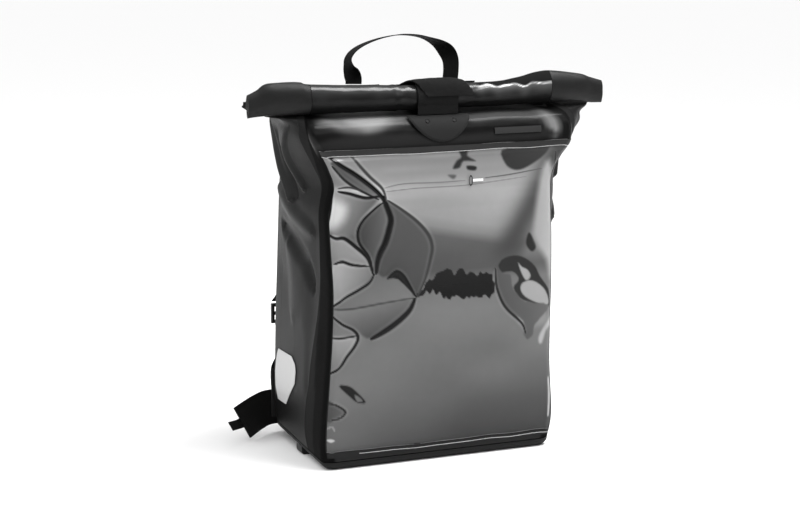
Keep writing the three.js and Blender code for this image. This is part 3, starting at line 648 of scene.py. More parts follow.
@dataclass(frozen=True)
class Gloss(Finish):
    """Shiny coated cloth with a faint weave under the coat and shallow dents.

    It is matte where the mesh's value `dull` is 1, and lighter by the value `pale`, which holds
    the cloth's own lighter greys and painted highlights and sheen.

    Attributes:
        thread: distance from one thread to the next, in metres.
        dents: size of the dents' noise, in cells a metre.
        depth: of the dents, in metres, where `relief` is that of the weave.
        coat: weight of the shiny coat.
        coat_rough: roughness of the coat.
        dull_rough: roughness where the cloth is matte.
    """

    specular: float = 0.05
    relief: float = 0.00003
    strength: float = 0.8
    thread: float = 0.0022
    dents: float = 34
    depth: float = 0.0012
    coat: float = 0.25
    coat_rough: float = 0.16
    dull_rough: float = 0.8

    def dress(self, shader: Shader) -> None:
        """Weave: product of a wave across and one down, over dents of wide noise."""
        across, down = shader.flat()
        weave = across.wave(self.thread) * down.wave(self.thread)
        dents = shader.noise(self.dents, 2)
        shader.bump(weave * (self.relief / self.depth) + dents, self.depth, self.strength)
        dull = shader.attribute("dull")
        shader.set(
            Base_Color=shader.grey(shader.attribute("pale") + float(linear(self.tone))),
            Roughness=dull * (self.dull_rough - self.roughness) + self.roughness,
            Coat_Weight=dull * -self.coat + self.coat,
            Coat_Roughness=self.coat_rough,
        )


@dataclass(frozen=True)
class Webbing(Finish):
    """Woven strap with ribs along it.

    Attributes:
        rib: distance from one rib to the next, in metres.
        fuzz: size of its hairs' noise, in cells a metre.
    """

    specular: float = 0.15
    spread: float = 0.35
    relief: float = 0.0003
    strength: float = 0.8
    rib: float = 0.0022
    fuzz: float = 700

    def dress(self, shader: Shader) -> None:
        """Ribs: a wave across the strap, broken by a finer one along it, under fuzz."""
        across, down = shader.flat()
        ribs = across.wave(self.rib) * 0.35 + down.wave(self.rib * 0.6) * 0.3 + 0.5
        fuzz = shader.noise(self.fuzz, 2) * 0.4
        self.shaded(shader, ribs * 0.6 + fuzz)
        shader.bump(ribs + fuzz, self.relief, self.strength)


@dataclass(frozen=True)
class ClearFilm(Finish):
    """Clear film over black cloth, whose points carry a painted grey: its reflections and creases.

    Attributes:
        haze: size of the haze's noise, in cells a metre.
        ripple: size of the ripples' noise, in cells a metre.
        coat: weight of the shiny coat.
        coat_rough: roughness of the coat.
    """

    specular: float = 0.08
    spread: float = 0.04
    relief: float = 0.0006
    strength: float = 0.5
    haze: float = 60
    ripple: float = 26
    coat: float = 0.08
    coat_rough: float = 0.05

    def dress(self, shader: Shader) -> None:
        """Takes the painted grey from the mesh, with a faint haze of noise over it."""
        haze = shader.noise(self.haze, 3) * (2 * self.spread) + (1 - self.spread)
        shader.set(
            Base_Color=shader.grey(shader.attribute("tone") * haze),
            Coat_Weight=self.coat,
            Coat_Roughness=self.coat_rough,
        )
        shader.bump(shader.noise(self.ripple, 2), self.relief, self.strength)


@dataclass(frozen=True)
class Reflective(Finish):
    """Silver reflective sheet with a fine net of cells.

    Attributes:
        cell: width of a cell, in metres.
        slant: rise of the net's threads for each step sideways.
        cloud: size of its clouds, in cells a metre.
    """

    spread: float = 0.06
    relief: float = 0.0001
    strength: float = 0.4
    cell: float = 0.0024
    slant: float = 0.6
    cloud: float = 40

    def dress(self, shader: Shader) -> None:
        """Cells: crests of two crossed waves over Object coordinates."""
        split = shader.node("ShaderNodeSeparateXYZ", {}, shader.place())
        y, z = Value(shader, split.outputs[1]), Value(shader, split.outputs[2])
        rise = z * self.slant
        net = ((y + rise).wave(self.cell) * (y - rise).wave(self.cell)) * 0.5 + 0.5
        self.shaded(shader, net * 0.5 + shader.noise(self.cloud) * 0.5)
        shader.bump(net, self.relief, self.strength)


GLOSS = Gloss("coated_gloss", "coated_gloss", 9, 0.36)
HEM = Gloss("hem_gloss", "coated_gloss", 44, 0.3)
ROLL_GLOSS = Gloss("roll_gloss", "coated_gloss", 9, 0.3, dents=20, depth=0.003)
CLOTH = Woven("coated_cloth", "coated_cloth", 15.5, 0.5, spread=0.96)
BASE = Woven("base_cloth", "coated_cloth", 9, 0.6)
PADDING = Woven("padding", "padding", 25, 0.9, thread=0.003, relief=0.0006)
WEBBING = Webbing("webbing", "webbing", 13, 0.85)
STRAP = Webbing("closure_webbing", "webbing", 16, 0.9)
PATCH = Plastic("rubber_patch", "rubber_patch", 17, 0.8, grain=500)
BAR = Plastic("satin_bar", "black_plastic", 40, 0.4)
RIVET = Plastic("dark_rivet", "black_plastic", 6, 0.7)
PLASTIC = Plastic("black_plastic", "black_plastic", 24, 0.45)
FILM = ClearFilm("clear_film", "clear_film", 110, 0.14)
# The welds' light greys are painted highlights along the beads.
WELD_HIGHLIGHT = Finish("film_weld", "clear_film", 200, 0.25)
DIM_WELD_HIGHLIGHT = Finish("dim_weld", "clear_film", 96, 0.3)
WHITE = Finish("white_trim", "white_trim", 240, 0.5)
SILVER = Reflective("reflective", "reflective", 186, 0.5)


# Sections of the body, evenly spaced from the base's rim up to the neck of the roll. The Y
# columns are shares of the depth, the Up columns of the height, the half columns of half the
# width, and the flare columns of half the depth. Under the ends of the roll the flares are
# drawn in more than the solids' are, as the photograph shows them.
SECTIONS = read_table("""
frontY frontUp backY  backUp half  leftHalf backHalf flare leftFlare wrap bulge foot flat
-0.5   0       0.5    0      1     1        1        0     0         0.29 0     1    0
-0.5   0.071   0.5    0.066  1.035 1.0      1.02     0.01  0.01      0.33 0.25  0.3  0
-0.5   0.223   0.5    0.214  1.01  0.965    1.015    0.04  0.03      0.28 0.75  0    0
-0.5   0.345   0.5    0.34   1.01  0.94     1.005    0.1   0.04      0.2  0.95  0    0
-0.5   0.468   0.5    0.467  1.015 0.93     0.99     0.2   0.06      0.13 1     0    0
-0.5   0.59    0.49   0.591  1.01  0.95     0.98     0.32  0.1       0.08 0.9   0    0
-0.5   0.684   0.475  0.686  1.0   0.96     0.975    0.36  0.16      0.06 0.7   0    0
-0.5   0.755   0.455  0.765  1.005 0.92     0.97     0.38  0.22      0.07 0.5   0    0
-0.498 0.806   0.425  0.85   1.08  0.965    0.97     0.4   0.27      0.1  0.3   0    0.05
-0.494 0.845   0.385  0.908  1.17  1.02     0.98     0.42  0.29      0.12 0.15  0    0.15
-0.485 0.878   0.33   0.948  1.19  1.065    0.99     0.46  0.30      0.13 0.05  0    0.3
-0.47  0.903   0.24   0.984  1.18  1.08     1.0      0.48  0.31      0.13 0     0    0.5
-0.44  0.922   0.12   0.998  1.14  1.08     1.01     0.56  0.40      0.12 0     0    0.7
-0.395 0.932   0      1      1.09  1.06     1.02     0.64  0.56      0.1  0     0    0.85
-0.34  0.937   -0.09  1      1.05  1.04     1.025    0.74  0.70      0.08 0     0    0.95
-0.29  0.942   -0.15  0.997  1.03  1.03     1.025    0.84  0.84      0.07 0     0    1
-0.255 0.957   -0.195 0.992  1.025 1.025    1.025    0.84  0.84      0.06 0     0    1
-0.244 0.981   -0.217 0.985  1.02  1.02     1.02     0.85  0.85      0.06 0     0    1
""")


# Share of its width that a line keeps at its tips, how many times as wide as its line a crease
# is and the power of its slope, and the greys between which patches stay.
TIP_SHARE = 0.35
CREASE_WIDTH, CREASE_POWER = 4, 1.6
PATCH_GREYS = (12, 245)


@dataclass(frozen=True)
class Line:
    """Line drawn on a panel: places across and up it, or along and up a side.

    Attributes:
        points: corners of the line, which a smooth curve joins.
        width: from the line to where it has faded.
        rise: how far it lifts the cloth.
        tone: grey painted along it on the film, painted shade in a dark crease and a painted
            highlight on a light line.
    """

    points: tuple[tuple[float, float], ...]
    width: float
    rise: float = 0
    tone: float = 0

    def shape(self, points: Array, steps: int = 5) -> Array:
        """Weight of the line at points: 1 on it, 0 past its width, pointed at its ends.

        Args:
            points: places in the plane.
            steps: straight stretches from one corner to the next.

        Returns:
            The weights.
        """
        corners = np.array(self.points, float)
        line = cubic(corners, np.linspace(0, 1, steps * (len(corners) - 1) + 1))
        near = ((points > line.min(axis=0) - self.width)
                & (points < line.max(axis=0) + self.width)).all(-1)
        away, along = line_distance(points[near], line)
        taper = TIP_SHARE + (1 - TIP_SHARE) * np.sin(np.pi * np.clip(along, 0, 1)) ** 0.5
        weight = np.zeros(points.shape[:-1])
        weight[near] = np.clip(1 - away / (self.width * taper), 0, 1)
        return weight


@dataclass(frozen=True)
class BodyForm:
    """Shape of the bag's body, which the solids share.

    A section at `place` joins a front edge and a back edge. It goes from the middle of the
    front round a corner, along a side that folds outwards, and round a corner to the back.
    """

    width: float = 408
    depth: float = 242
    top: float = 605
    front_corner: float = 15
    back_corner: float = 18
    base_round: tuple[float, float, float] = (22, 14, 15.5)
    back_lift: float = 14
    bulge: float = 9
    back_return: float = 0.12
    corner_share: float = 0.3
    fold_reach: float = 0.06
    rim_gap: float = 1.35
    wall: float = 1.6
    gap: float = 0.4

    def rim_height(self, y: Array | float) -> Array | float:
        """Height of the base's rim, on the slope that the bag stands on."""
        start = -self.depth / 2 + self.base_round[1]
        return self.base_round[2] + self.back_lift * (y - start) / (self.depth / 2 - start)

    def row(self, name: str, place: Array) -> Array:
        """One column of the sections at a place."""
        return cubic(SECTIONS[name], place)

    def front_height(self, place: Array) -> Array:
        """Height of the front edge."""
        low = self.rim_height(-self.depth / 2)
        return low + (self.top - low) * self.row("frontUp", place)

    def back_height(self, place: Array) -> Array:
        """Height of the back edge."""
        low = self.rim_height(self.depth / 2)
        return low + (self.top - low) * self.row("backUp", place)

    def place_at_front(self, z: Array | float) -> Array:
        """Place whose front edge lies at a height."""
        return solve(self.front_height, np.asarray(z, float))

    def place_at_back(self, z: Array | float) -> Array:
        """Place whose back edge lies at a height."""
        return solve(self.back_height, np.asarray(z, float))

    def point(self, place: Array, side: Side, region: Region, t: Array) -> Array:
        """Point of the outer surface.

        Args:
            place: from 0 at the base's rim to 1 at the neck of the roll.
            side: which half of the bag.
            region: stretch of the section.
            t: way along that stretch, from 0 to 1.

        Returns:
            The points, in millimetres.
        """
        place, t = np.broadcast_arrays(np.asarray(place, float), np.asarray(t, float))
        front_y, back_y = (self.row(n, place) * self.depth for n in ("frontY", "backY"))
        front_z, back_z = self.front_height(place), self.back_height(place)
        length = np.hypot(back_y - front_y, back_z - front_z)
        right = side is Side.RIGHT
        half = self.width / 2 * self.row("half" if right else "leftHalf", place)
        flare = self.depth / 2 * self.row("flare" if right else "leftFlare", place)
        back_half = self.width / 2 * self.row("backHalf", place)
        foot, flat = self.row("foot", place), self.row("flat", place)
        round_x, round_y, _ = self.base_round
        narrowed = 1 - flat / 2
        most = length * self.corner_share
        front_x = (self.front_corner + (round_x - self.front_corner) * foot) * narrowed
        front_w = np.minimum(self.front_corner + (round_y - self.front_corner) * foot, most)
        back_x = (self.back_corner + (round_x - self.back_corner) * foot) * narrowed
        back_w = np.minimum(self.back_corner + (round_y - self.back_corner) * foot, most)
        angle = t * np.pi / 2
        bulge = np.zeros_like(t)
        if region is Region.FRONT:
            x, w = t * (half - front_x), np.zeros_like(t)
            bulge = self.row("bulge", place) * self.bulge * (1 - t * t)
        elif region is Region.FRONT_CORNER:
            x = half - front_x * (1 - np.sin(angle))
            w = front_w * (1 - np.cos(angle))
        elif region is Region.SIDE:
            folded = smooth(t, 0.5 - self.fold_reach, 0.5 + self.fold_reach)
            box, fold = np.sin(np.pi * t), 1 - np.abs(2 * t - 1)
            x = half + (back_half - half) * t + flare * (box + (fold - box) * flat)
            share = t + (folded - t) * flat
            w = front_w + (length - back_w - front_w) * share
        elif region is Region.BACK_CORNER:
            x = back_half - back_x * (1 - np.cos(angle))
            w = length - back_w * (1 - np.sin(angle))
        else:
            x, w = (1 - t) * (back_half - back_x), length
        k = w / length
        y = front_y + (back_y - front_y) * k - bulge
        z = front_z + (back_z - front_z) * k
        return np.stack([side.value * x, y, z], axis=-1)

    def front(self, u: Array, place: Array) -> Array:
        """Point of the front: u is -1 and 1 where its corners start, and goes on round them.

        Args:
            u: across.
            place: up the body.

        Returns:
            The points, in millimetres.
        """
        u, place = np.broadcast_arrays(np.asarray(u, float), np.asarray(place, float))
        across = np.abs(u)
        result = np.zeros(u.shape + (3,))
        for side in Side:
            mine = (u < 0) == (side is Side.LEFT)
            flat = self.point(place, side, Region.FRONT, np.minimum(across, 1))
            corner = self.point(place, side, Region.FRONT_CORNER, np.clip(across - 1, 0, 1))
            here = np.where((across <= 1)[..., None], flat, corner)
            result = np.where(mine[..., None], here, result)
        return result

    def front_lifted(self, u: Array, place: Array, lift: Array | float) -> Array:
        """The same, lifted off the surface along its normal, from steps to both sides."""
        step_u, step_place = 0.02, 0.004
        across = self.front(u + step_u, place) - self.front(u - step_u, place)
        along = self.front(u, place + step_place) - self.front(u, place - step_place)
        normal = unit(np.cross(across, along))
        return self.front(u, place) + normal * np.asarray(lift)[..., None]

    def front_share(self, x: Array, place: Array) -> Array:
        """u of a place on the front that lies at x."""
        left = self.point(place, Side.LEFT, Region.FRONT, 1.0)[..., 0]
        right = self.point(place, Side.RIGHT, Region.FRONT, 1.0)[..., 0]
        return np.where(x < 0, x / np.abs(left), x / right)

    def back(self, x: Array, z: Array, lift: Array | float) -> Array:
        """Point of the back at x and z, lifted off it."""
        place = self.place_at_back(z)
        y = self.row("backY", place) * self.depth + lift
        return np.stack(np.broadcast_arrays(x, y, z), axis=-1)

    def side_seam(self, place: Array) -> Array:
        """Share of a side at which the back panel's edge lies."""
        return 1 - self.back_return * (1 - self.row("flat", place) / 2)

    def base_height(self, x: Array, y: Array) -> Array:
        """Height of the base's outer face, rounded up towards its rim."""
        round_x, round_y, round_z = self.base_round
        over_x = np.clip((np.abs(x) - (self.width / 2 - round_x)) / round_x, 0, 1)
        over_y = np.clip((np.abs(y) - (self.depth / 2 - round_y)) / round_y, 0, 1)
        over = np.minimum(1, np.hypot(over_x, over_y))
        plane = self.rim_height(y) - round_z
        return plane + round_z * (1 - np.sqrt(1 - over * over)) - self.rim_gap * over

    def centre(self) -> Array:
        """A point well inside the bag."""
        return np.array([0, 0, self.top / 2])

    def ahead(self) -> Array:
        """A point far before the front."""
        return np.array([0, -2 * self.depth, self.top / 2])

    def behind(self) -> Array:
        """A point far behind the back."""
        return np.array([0, 3 * self.depth, self.top / 2])


@dataclass
class Shell:
    """The five welded panels of the body, with the dents that the load leaves.

    Attributes:
        form: shape of the body.
        rows: points up each panel.
        side_creases: lines on the sides, at shares of the way back and heights.
        dark_band: heights, and the share of the wrap that stays dark there.
        band_tone: grey of that band.
        wrap_tone: grey of the rest of the wrap.
        deepest: rise of a dent at which painted light makes the cloth twice as light.
        foot: share of the height round the foot that has rows of its own, and how many.
        side_columns: points across a side.
        front_columns: points across half the front, round its corner and on its wrap.
        back_columns: points on half the back's wrap, round its corner and across it.
        base_columns: points across and along the flat of the base, and round its rim.
        wide_wave: cell, seed and height of the wide noise of the sides.
        fine_wave: the same of the fine noise.
        low_fade: heights between which the dents of the sides begin.
        reflector_top: heights over which the plain place round the reflector ends.
        reflector_start: shares of the way back over which it begins.
        hollow: mean depth of the hollows in the front.
        hollow_waves: cell, seed and height of their noises.
        hollow_low: heights between which they begin.
        matte: how matte the front is under the roll.
        matte_low: heights between which it becomes so.
        corner_low: heights between which the front's corners become shiny.
    """

    form: BodyForm
    rows: int = 170
    side_creases: tuple[Line, ...] = (
        Line(((0.3, 560), (0.42, 524), (0.4, 490), (0.26, 452)), 15, 7),
        Line(((0.7, 560), (0.72, 515), (0.62, 470), (0.44, 430)), 17, 9),
        Line(((0.48, 560), (0.56, 520), (0.5, 480), (0.36, 440)), 15, -6),
        Line(((0.9, 440), (0.62, 424), (0.36, 398), (0.16, 384)), 28, 6),
        Line(((0.8, 380), (0.56, 362), (0.34, 330), (0.24, 290)), 30, -7),
        Line(((0.66, 350), (0.56, 290), (0.6, 230)), 46, 3),
        Line(((0.3, 330), (0.26, 240), (0.3, 120)), 42, -2.5),
    )
    dark_band: tuple[tuple[float, ...], ...] = ((120, 330, 470, 540), (0.5, 1, 0.9, 0.1))
    band_tone: float = 17
    wrap_tone: float = 32
    deepest: float = 7
    foot: tuple[float, int] = (0.06, 9)
    side_columns: int = 90
    front_columns: tuple[int, int, int] = (32, 9, 14)
    back_columns: tuple[int, int, int] = (6, 9, 24)
    base_columns: tuple[int, int, int] = (40, 26, 9)
    wide_wave: tuple[float, int, float] = (90, 5, 2)
    fine_wave: tuple[float, int, float] = (30, 9, 0.5)
    low_fade: tuple[float, float] = (20, 70)
    reflector_top: tuple[float, float] = (178, 225)
    reflector_start: tuple[float, float] = (0.3, 0.42)
    hollow: float = 1.6
    hollow_waves: tuple[tuple[float, int, float], ...] = ((34, 61, 1.3), (15, 62, 0.3))
    hollow_low: tuple[float, float] = (520, 545)
    matte: float = 0.75
    matte_low: tuple[float, float] = (540, 556)
    corner_low: tuple[float, float] = (505, 530)

    def places(self) -> Array:
        """Places up the panels, in even steps round the foot and in even steps above it."""
        share, count = self.foot
        low = np.linspace(0, share, count)[:-1]
        return np.concatenate([low, np.linspace(share, 1, self.rows - len(low))])[:, None]

    def side_dent(self, side: Side, place: Array, t: Array) -> Array:
        """How far a side stands proud of the plain form: creases, and wide noise.

        It stays plain round the reflector.

        Args:
            side: which side.
            place: places up it.
            t: shares of the way back.

        Returns:
            The height of the dents at each.
        """
        at = self.form.point(place, side, Region.SIDE, t)
        along = t * self.form.depth
        plane = np.stack([along, at[..., 2]], axis=-1)
        far_off = 1000 * side.value
        dent = waves(plane + far_off, self.wide_wave) + waves(plane, self.fine_wave)
        for crease in self.side_creases:
            stretched = tuple((share * self.form.depth, z) for share, z in crease.points)
            here = Line(stretched, crease.width, crease.rise)
            dent += here.rise * smooth(here.shape(plane), 0, 1)
        edges = smooth(t, 0.02, 0.16) * smooth(1 - t, 0.02, 0.14)
        height = at[..., 2]
        folded = smooth(self.form.row("flat", place), 0.1, 0.6)
        ends = smooth(height, *self.low_fade) * (1 - folded)
        below = 1 - smooth(height, *self.reflector_top)
        return dent * edges * ends * (1 - below * smooth(t, *self.reflector_start))

    def front_dent(self, grid: Array) -> Array:
        """How far the front sinks in above the pocket: wide, uneven hollows under the roll."""
        plane = np.stack([grid[..., 0] * 0.6, grid[..., 2]], axis=-1)
        hollow = self.hollow + waves(plane, *self.hollow_waves)
        corner = smooth(self.form.width / 2 - np.abs(grid[..., 0]), 8, 40)
        return hollow * smooth(grid[..., 2], *self.hollow_low) * corner

    def stretch(self, side: Side, region: Region, t: Array) -> tuple[Array, Array]:
        """Points of one region of a panel, and how far its dents lift them."""
        place = self.places()
        grid = self.form.point(place, side, region, t)
        if region is Region.FRONT:
            return grid, -self.front_dent(grid)
        if region is not Region.SIDE:
            return grid, np.zeros(grid.shape[:2])
        place, t = np.broadcast_arrays(place, t)
        return grid, self.side_dent(side, place, t)

    def look(self, region: Region, t: Array, grid: Array) -> tuple[Array, Array]:
        """How matte the front panel is along a stretch, and how much lighter than its black.

        Its corners and its wrap are matte, and past a dark band the wrap is as grey as the
        sides. Painted highlights lie on the front under the roll.

        Args:
            region: which region.
            t: way along it.
            grid: its points.

        Returns:
            How matte, and how much lighter, each point is.
        """
        plain, height = np.zeros(grid.shape[:2]), grid[..., 2]
        if region is Region.SIDE:
            share = t / self.form.row("wrap", self.places())
            sides = smooth(share - np.interp(height, *self.dark_band), 0, 0.04)
            band, rest = linear(self.band_tone), linear(self.wrap_tone)
            return plain + 1, sides * (rest - band) + band - linear(GLOSS.tone)
        if region not in (Region.FRONT, Region.FRONT_CORNER):
            return plain, plain
        tone = plain + GLOSS.tone
        # Painted highlights on the top of the front and round its right corner.
        for highlight in PAINTED_FRONT_HIGHLIGHTS:
            tone = highlight.paint(grid[..., [0, 2]], tone)
        dull = self.matte * smooth(height, *self.matte_low)
        if region is Region.FRONT_CORNER:
            dull = np.maximum(dull, 1 - smooth(height, *self.corner_low))
        return dull, linear(tone) - linear(GLOSS.tone)

    def panel(self, parts: Sequence[tuple[Side, Region, Array]]) -> Surface:
        """Joins regions into one closed sheet.

        Args:
            parts: side, region and way along it of each stretch, in order across the panel.

        Returns:
            The panel, as thick as the cloth.
        """
        pieces = [self.stretch(*part) for part in parts]
        grid = np.concatenate([grid for grid, _ in pieces], axis=1)
        dent = np.concatenate([dent for _, dent in pieces], axis=1)
        looks = [self.look(region, t, piece)
                 for (_, region, t), (piece, _) in zip(parts, pieces)]
        dull, pale = (np.concatenate(column, axis=1) for column in zip(*looks))
        centre = self.form.centre()
        outer = lifted(grid, -dent, centre)
        # Painted light on the raised dents and painted shade in the sunk ones.
        shade = np.clip(dent / self.deepest, -0.75, 1)
        return Surface.sheet(outer, self.form.wall, centre, dull=dull, pale=pale, shade=shade)

    def both_sides(self, *parts: tuple[Region, Array]) -> Surface:
        """Panel that crosses the bag: the stretches of its left half, and their mirror.

        Args:
            parts: region and way along it of each stretch, from the left edge to the middle.

        Returns:
            The panel.
        """
        left = [(Side.LEFT, region, t) for region, t in parts]
        right = [(Side.RIGHT, region, t[:, ::-1]) for region, t in reversed(parts)]
        side, region, t = right[0]
        without_middle = [(side, region, t[:, 1:])]
        return self.panel(left + without_middle + right[1:])

    def front(self) -> Surface:
        """Front panel, which wraps round both corners onto the sides."""
        across, corner, around = (np.linspace(0, 1, count)[None] for count in self.front_columns)
        wrap = self.form.row("wrap", self.places())
        return self.both_sides(
            (Region.SIDE, wrap * around[:, :0:-1]),
            (Region.FRONT_CORNER, corner[:, :0:-1]),
            (Region.FRONT, across[:, ::-1]),
        )

    def side(self, side: Side) -> Surface:
        """Side panel, from the edge of the front panel's wrap to the back panel.

        Args:
            side: which side.

        Returns:
            The panel.
        """
        form = self.form
        gap = form.gap / (form.depth - form.front_corner - form.back_corner)
        start = form.row("wrap", self.places()) + gap
        end = form.side_seam(self.places()) - gap
        t = start + (end - start) * np.linspace(0, 1, self.side_columns)
        return self.panel([(side, Region.SIDE, t)])

    def back(self) -> Surface:
        """Back panel, with its edges on the sides."""
        edge, corner, across = (np.linspace(0, 1, count)[None] for count in self.back_columns)
        start = self.form.side_seam(self.places())
        return self.both_sides(
            (Region.SIDE, start + (1 - start) * edge),
            (Region.BACK_CORNER, corner[:, 1:]),
            (Region.BACK, across[:, 1:]),
        )

    def base(self) -> Surface:
        """Base, a tray whose rounded edge runs up to the panels' rim."""
        form = self.form
        along_count, across_count, rim_count = self.base_columns
        turn = np.sin(np.linspace(0, 1, rim_count) * np.pi / 2)

        def span(half: float, radius: float, count: int) -> tuple[Array, Array]:
            """Places along the flat, and how far the rim reaches past its ends."""
            flat = np.linspace(-half, half, count)[1:-1]
            at = np.concatenate([np.full(rim_count, -half), flat, np.full(rim_count, half)])
            over = np.concatenate([-turn[::-1], np.zeros(count - 2), turn])
            return at, over * radius

        round_x, round_y, _ = form.base_round
        x_at, x_over = span(form.width / 2 - round_x, round_x, along_count)
        y_at, y_over = span(form.depth / 2 - round_y, round_y, across_count)
        u, v = x_over[None] / round_x, y_over[:, None] / round_y
        reach = np.maximum(np.abs(u), np.abs(v))
        squeeze = np.where(reach > 0, reach / np.maximum(np.hypot(u, v), TINY), 1)
        x = x_at[None] + x_over[None] * squeeze
        y = y_at[:, None] + y_over[:, None] * squeeze
        z = np.maximum(form.base_height(x, y), 0)
        return Surface.sheet(np.stack([x, y, z], axis=-1), form.wall, form.centre())

    def build(self) -> None:
        """Builds the panels in place of their solids."""
        self.front().build("front_cloth", GLOSS, "front_panel")
        for side in Side:
            self.side(side).build(f"side_cloth_{side.word}", CLOTH, f"side_panel_{side.word}")
        self.back().build("back_cloth", CLOTH, "back_panel")
        self.base().build("base_cloth", BASE, "base_panel")


ROLL_PROFILE = read_table("""
at    height depth rise
-1    0.9    0.42  -0.1
-0.95 1.02   0.52  0.0
-0.89 1.24   0.72  0.12
-0.73 1.26   0.94  0.13
-0.66 1.16   1     0.08
-0.3  1.04   1     0.02
0     1      1     0
0.36  1      1     0.02
0.5   1.12   1     0.09
0.66  1.3    0.97  0.2
0.86  1.14   0.76  0.13
0.93  1.04   0.56  0.02
1     0.92   0.42  -0.06
""")


@dataclass
class Roll:
    """The mouth of the bag rolled up: a spiral of two plies, shiny between its two ends.

    Attributes:
        form: shape of the body.
        half: half of its length.
        centre_half: half of the shiny length.
        depth: from front to back.
        height: from its underside to its top.
        ply: thickness of the two plies.
        pitch: how much the spiral shrinks in a turn.
        turns: number of its turns.
        start: degrees from its back at which the spiral starts.
        back_gap: from its back to the back of the neck.
        drop: how far its middle lies below the neck.
        seam: gap between the shiny length and an end.
        columns: points along the shiny length and along an end.
        rows: points along the spiral.
        wrinkled: shares of the spiral between which its wrinkles fade.
        pinch: middle, distance from it and width of the pinches beside the strap.
        flap: places between which the matte flap at the right begins.
        flap_low: heights over the middle between which it begins.
        edge: height and width of the painted highlight along the flap's edge.
        tones: lightening by the flap, by its edge's painted highlight, by the painted sheen, and
            by the painted sheen beside the flap.
        sheen: heights between which the painted sheen makes the front light.
        underside: degrees between which the underside becomes dull.
    """

    form: BodyForm
    half: float = 311
    centre_half: float = 210
    depth: float = 40
    height: float = 44
    ply: float = 3
    pitch: float = 3.7
    turns: float = 1.62
    start: float = -10
    back_gap: float = 0.5
    drop: float = 0.5
    seam: float = 0.9
    columns: tuple[int, int] = (190, 50)
    rows: int = 120
    wrinkled: tuple[float, float] = (0.45, 0.6)
    pinch: tuple[float, float, float] = (4, 62, 16)
    flap: tuple[float, float] = (64, 84)
    flap_low: tuple[float, float] = (17, 18.5)
    edge: tuple[float, float] = (15.8, 1.0)
    tones: tuple[float, float, float, float] = (10, 170, 30, 34)
    sheen: tuple[float, float] = (-8, 16)
    underside: tuple[float, float] = (180, 215)

    def middle(self) -> tuple[float, float]:
        """Y and Z of the roll's middle."""
        neck = self.form.point(1.0, Side.RIGHT, Region.FRONT, 0.0)
        return float(neck[1]) - self.back_gap - self.depth / 2, float(neck[2]) - self.drop

    def point(self, x: Array, turn: Array, lift: Array | float = 0) -> Array:
        """Point of the outer ply.

        The section is an ellipse whose half sizes shrink by the pitch for each turn.

        Args:
            x: place along the roll.
            turn: from 0 at the outer end of the spiral to 1 at its core.
            lift: how far to stand off the spiral.

        Returns:
            The points, in millimetres.
        """
        x, turn = np.broadcast_arrays(np.asarray(x, float), np.asarray(turn, float))
        place = solve(lambda k: cubic(ROLL_PROFILE["at"], k) * self.half, x)
        height, depth, rise = (cubic(ROLL_PROFILE[n], place) for n in ("height", "depth", "rise"))
        angle = np.radians(self.start + 360 * self.turns * turn)
        inset = self.pitch * self.turns * turn - lift
        y = (self.depth * depth / 2 - inset) * np.cos(angle)
        z = (self.height * height / 2 - inset) * np.sin(angle)
        middle_y, middle_z = self.middle()
        return np.stack([x, middle_y + y, middle_z + rise * self.height + z], axis=-1)

    def over(self, x: Array, degrees: Array, lift: Array | float) -> Array:
        """Point over the outside of the roll, by the angle from its back up over its top."""
        turn = (degrees - self.start) / (360 * self.turns)
        return self.point(x, turn, lift + self.pitch * self.turns * turn)

    def wrinkle(self, x: Array, turn: Array) -> Array:
        """Height of the roll's wrinkles: noise drawn out along it, and pinches at the strap.

        Args:
            x: places along the roll.
            turn: places along the spiral.

        Returns:
            The heights.
        """
        angle = self.turns * turn * 2 * np.pi
        places = np.stack([x, np.cos(angle) * 24, np.sin(angle) * 24], axis=-1)
        drawn_out, finer_folds = places * [1 / 3.4, 1, 1], places * [2.2 / 3.4, 1, 1]
        folds = waves(drawn_out, (15, 21, 0.7)) + waves(finer_folds, (9, 22, 0.315))
        middle, away, width = self.pinch
        pinch = np.exp(-((np.abs(x - middle) - away) / width) ** 2)
        return folds + pinch * (noise(places, 11, 23) - 0.4) * 1.4

    def look(self, grid: Array, turn: Array) -> tuple[Array, Array]:
        """How matte the shiny length is, and its grey.

        Its underside is dull. At the right a matte flap lies over its top, with a painted
        highlight along its edge, and a painted sheen lightens the front's upper part.

        Args:
            grid: the roll's points.
            turn: their places along the spiral.

        Returns:
            How matte each is, and its grey.
        """
        x = grid[..., 0]
        middle_y, middle_z = self.middle()
        above = grid[..., 2] - middle_z - waves(along_x(x), (16, 24, 3))
        right = smooth(x, *self.flap)
        flap = smooth(above, *self.flap_low) * right
        front = smooth(middle_y - grid[..., 1], -2, 5)
        level, width = self.edge
        # Painted highlight along the flap's edge, and painted sheen over the front above the
        # middle.
        edge = np.exp(-((above - level) / width) ** 2) * right * front
        edge = edge * (0.75 + waves(along_x(x), (11, 25, 0.5)))
        sheen = smooth(above, *self.sheen) * (1 - flap) * front
        underside = smooth(self.start + 360 * self.turns * turn, *self.underside)
        on_flap, on_edge, on_front, beside_flap = self.tones
        lighter = flap * on_flap + edge * on_edge + sheen * (on_front + beside_flap * right)
        return np.maximum(flap, underside * 0.9), ROLL_GLOSS.tone + lighter

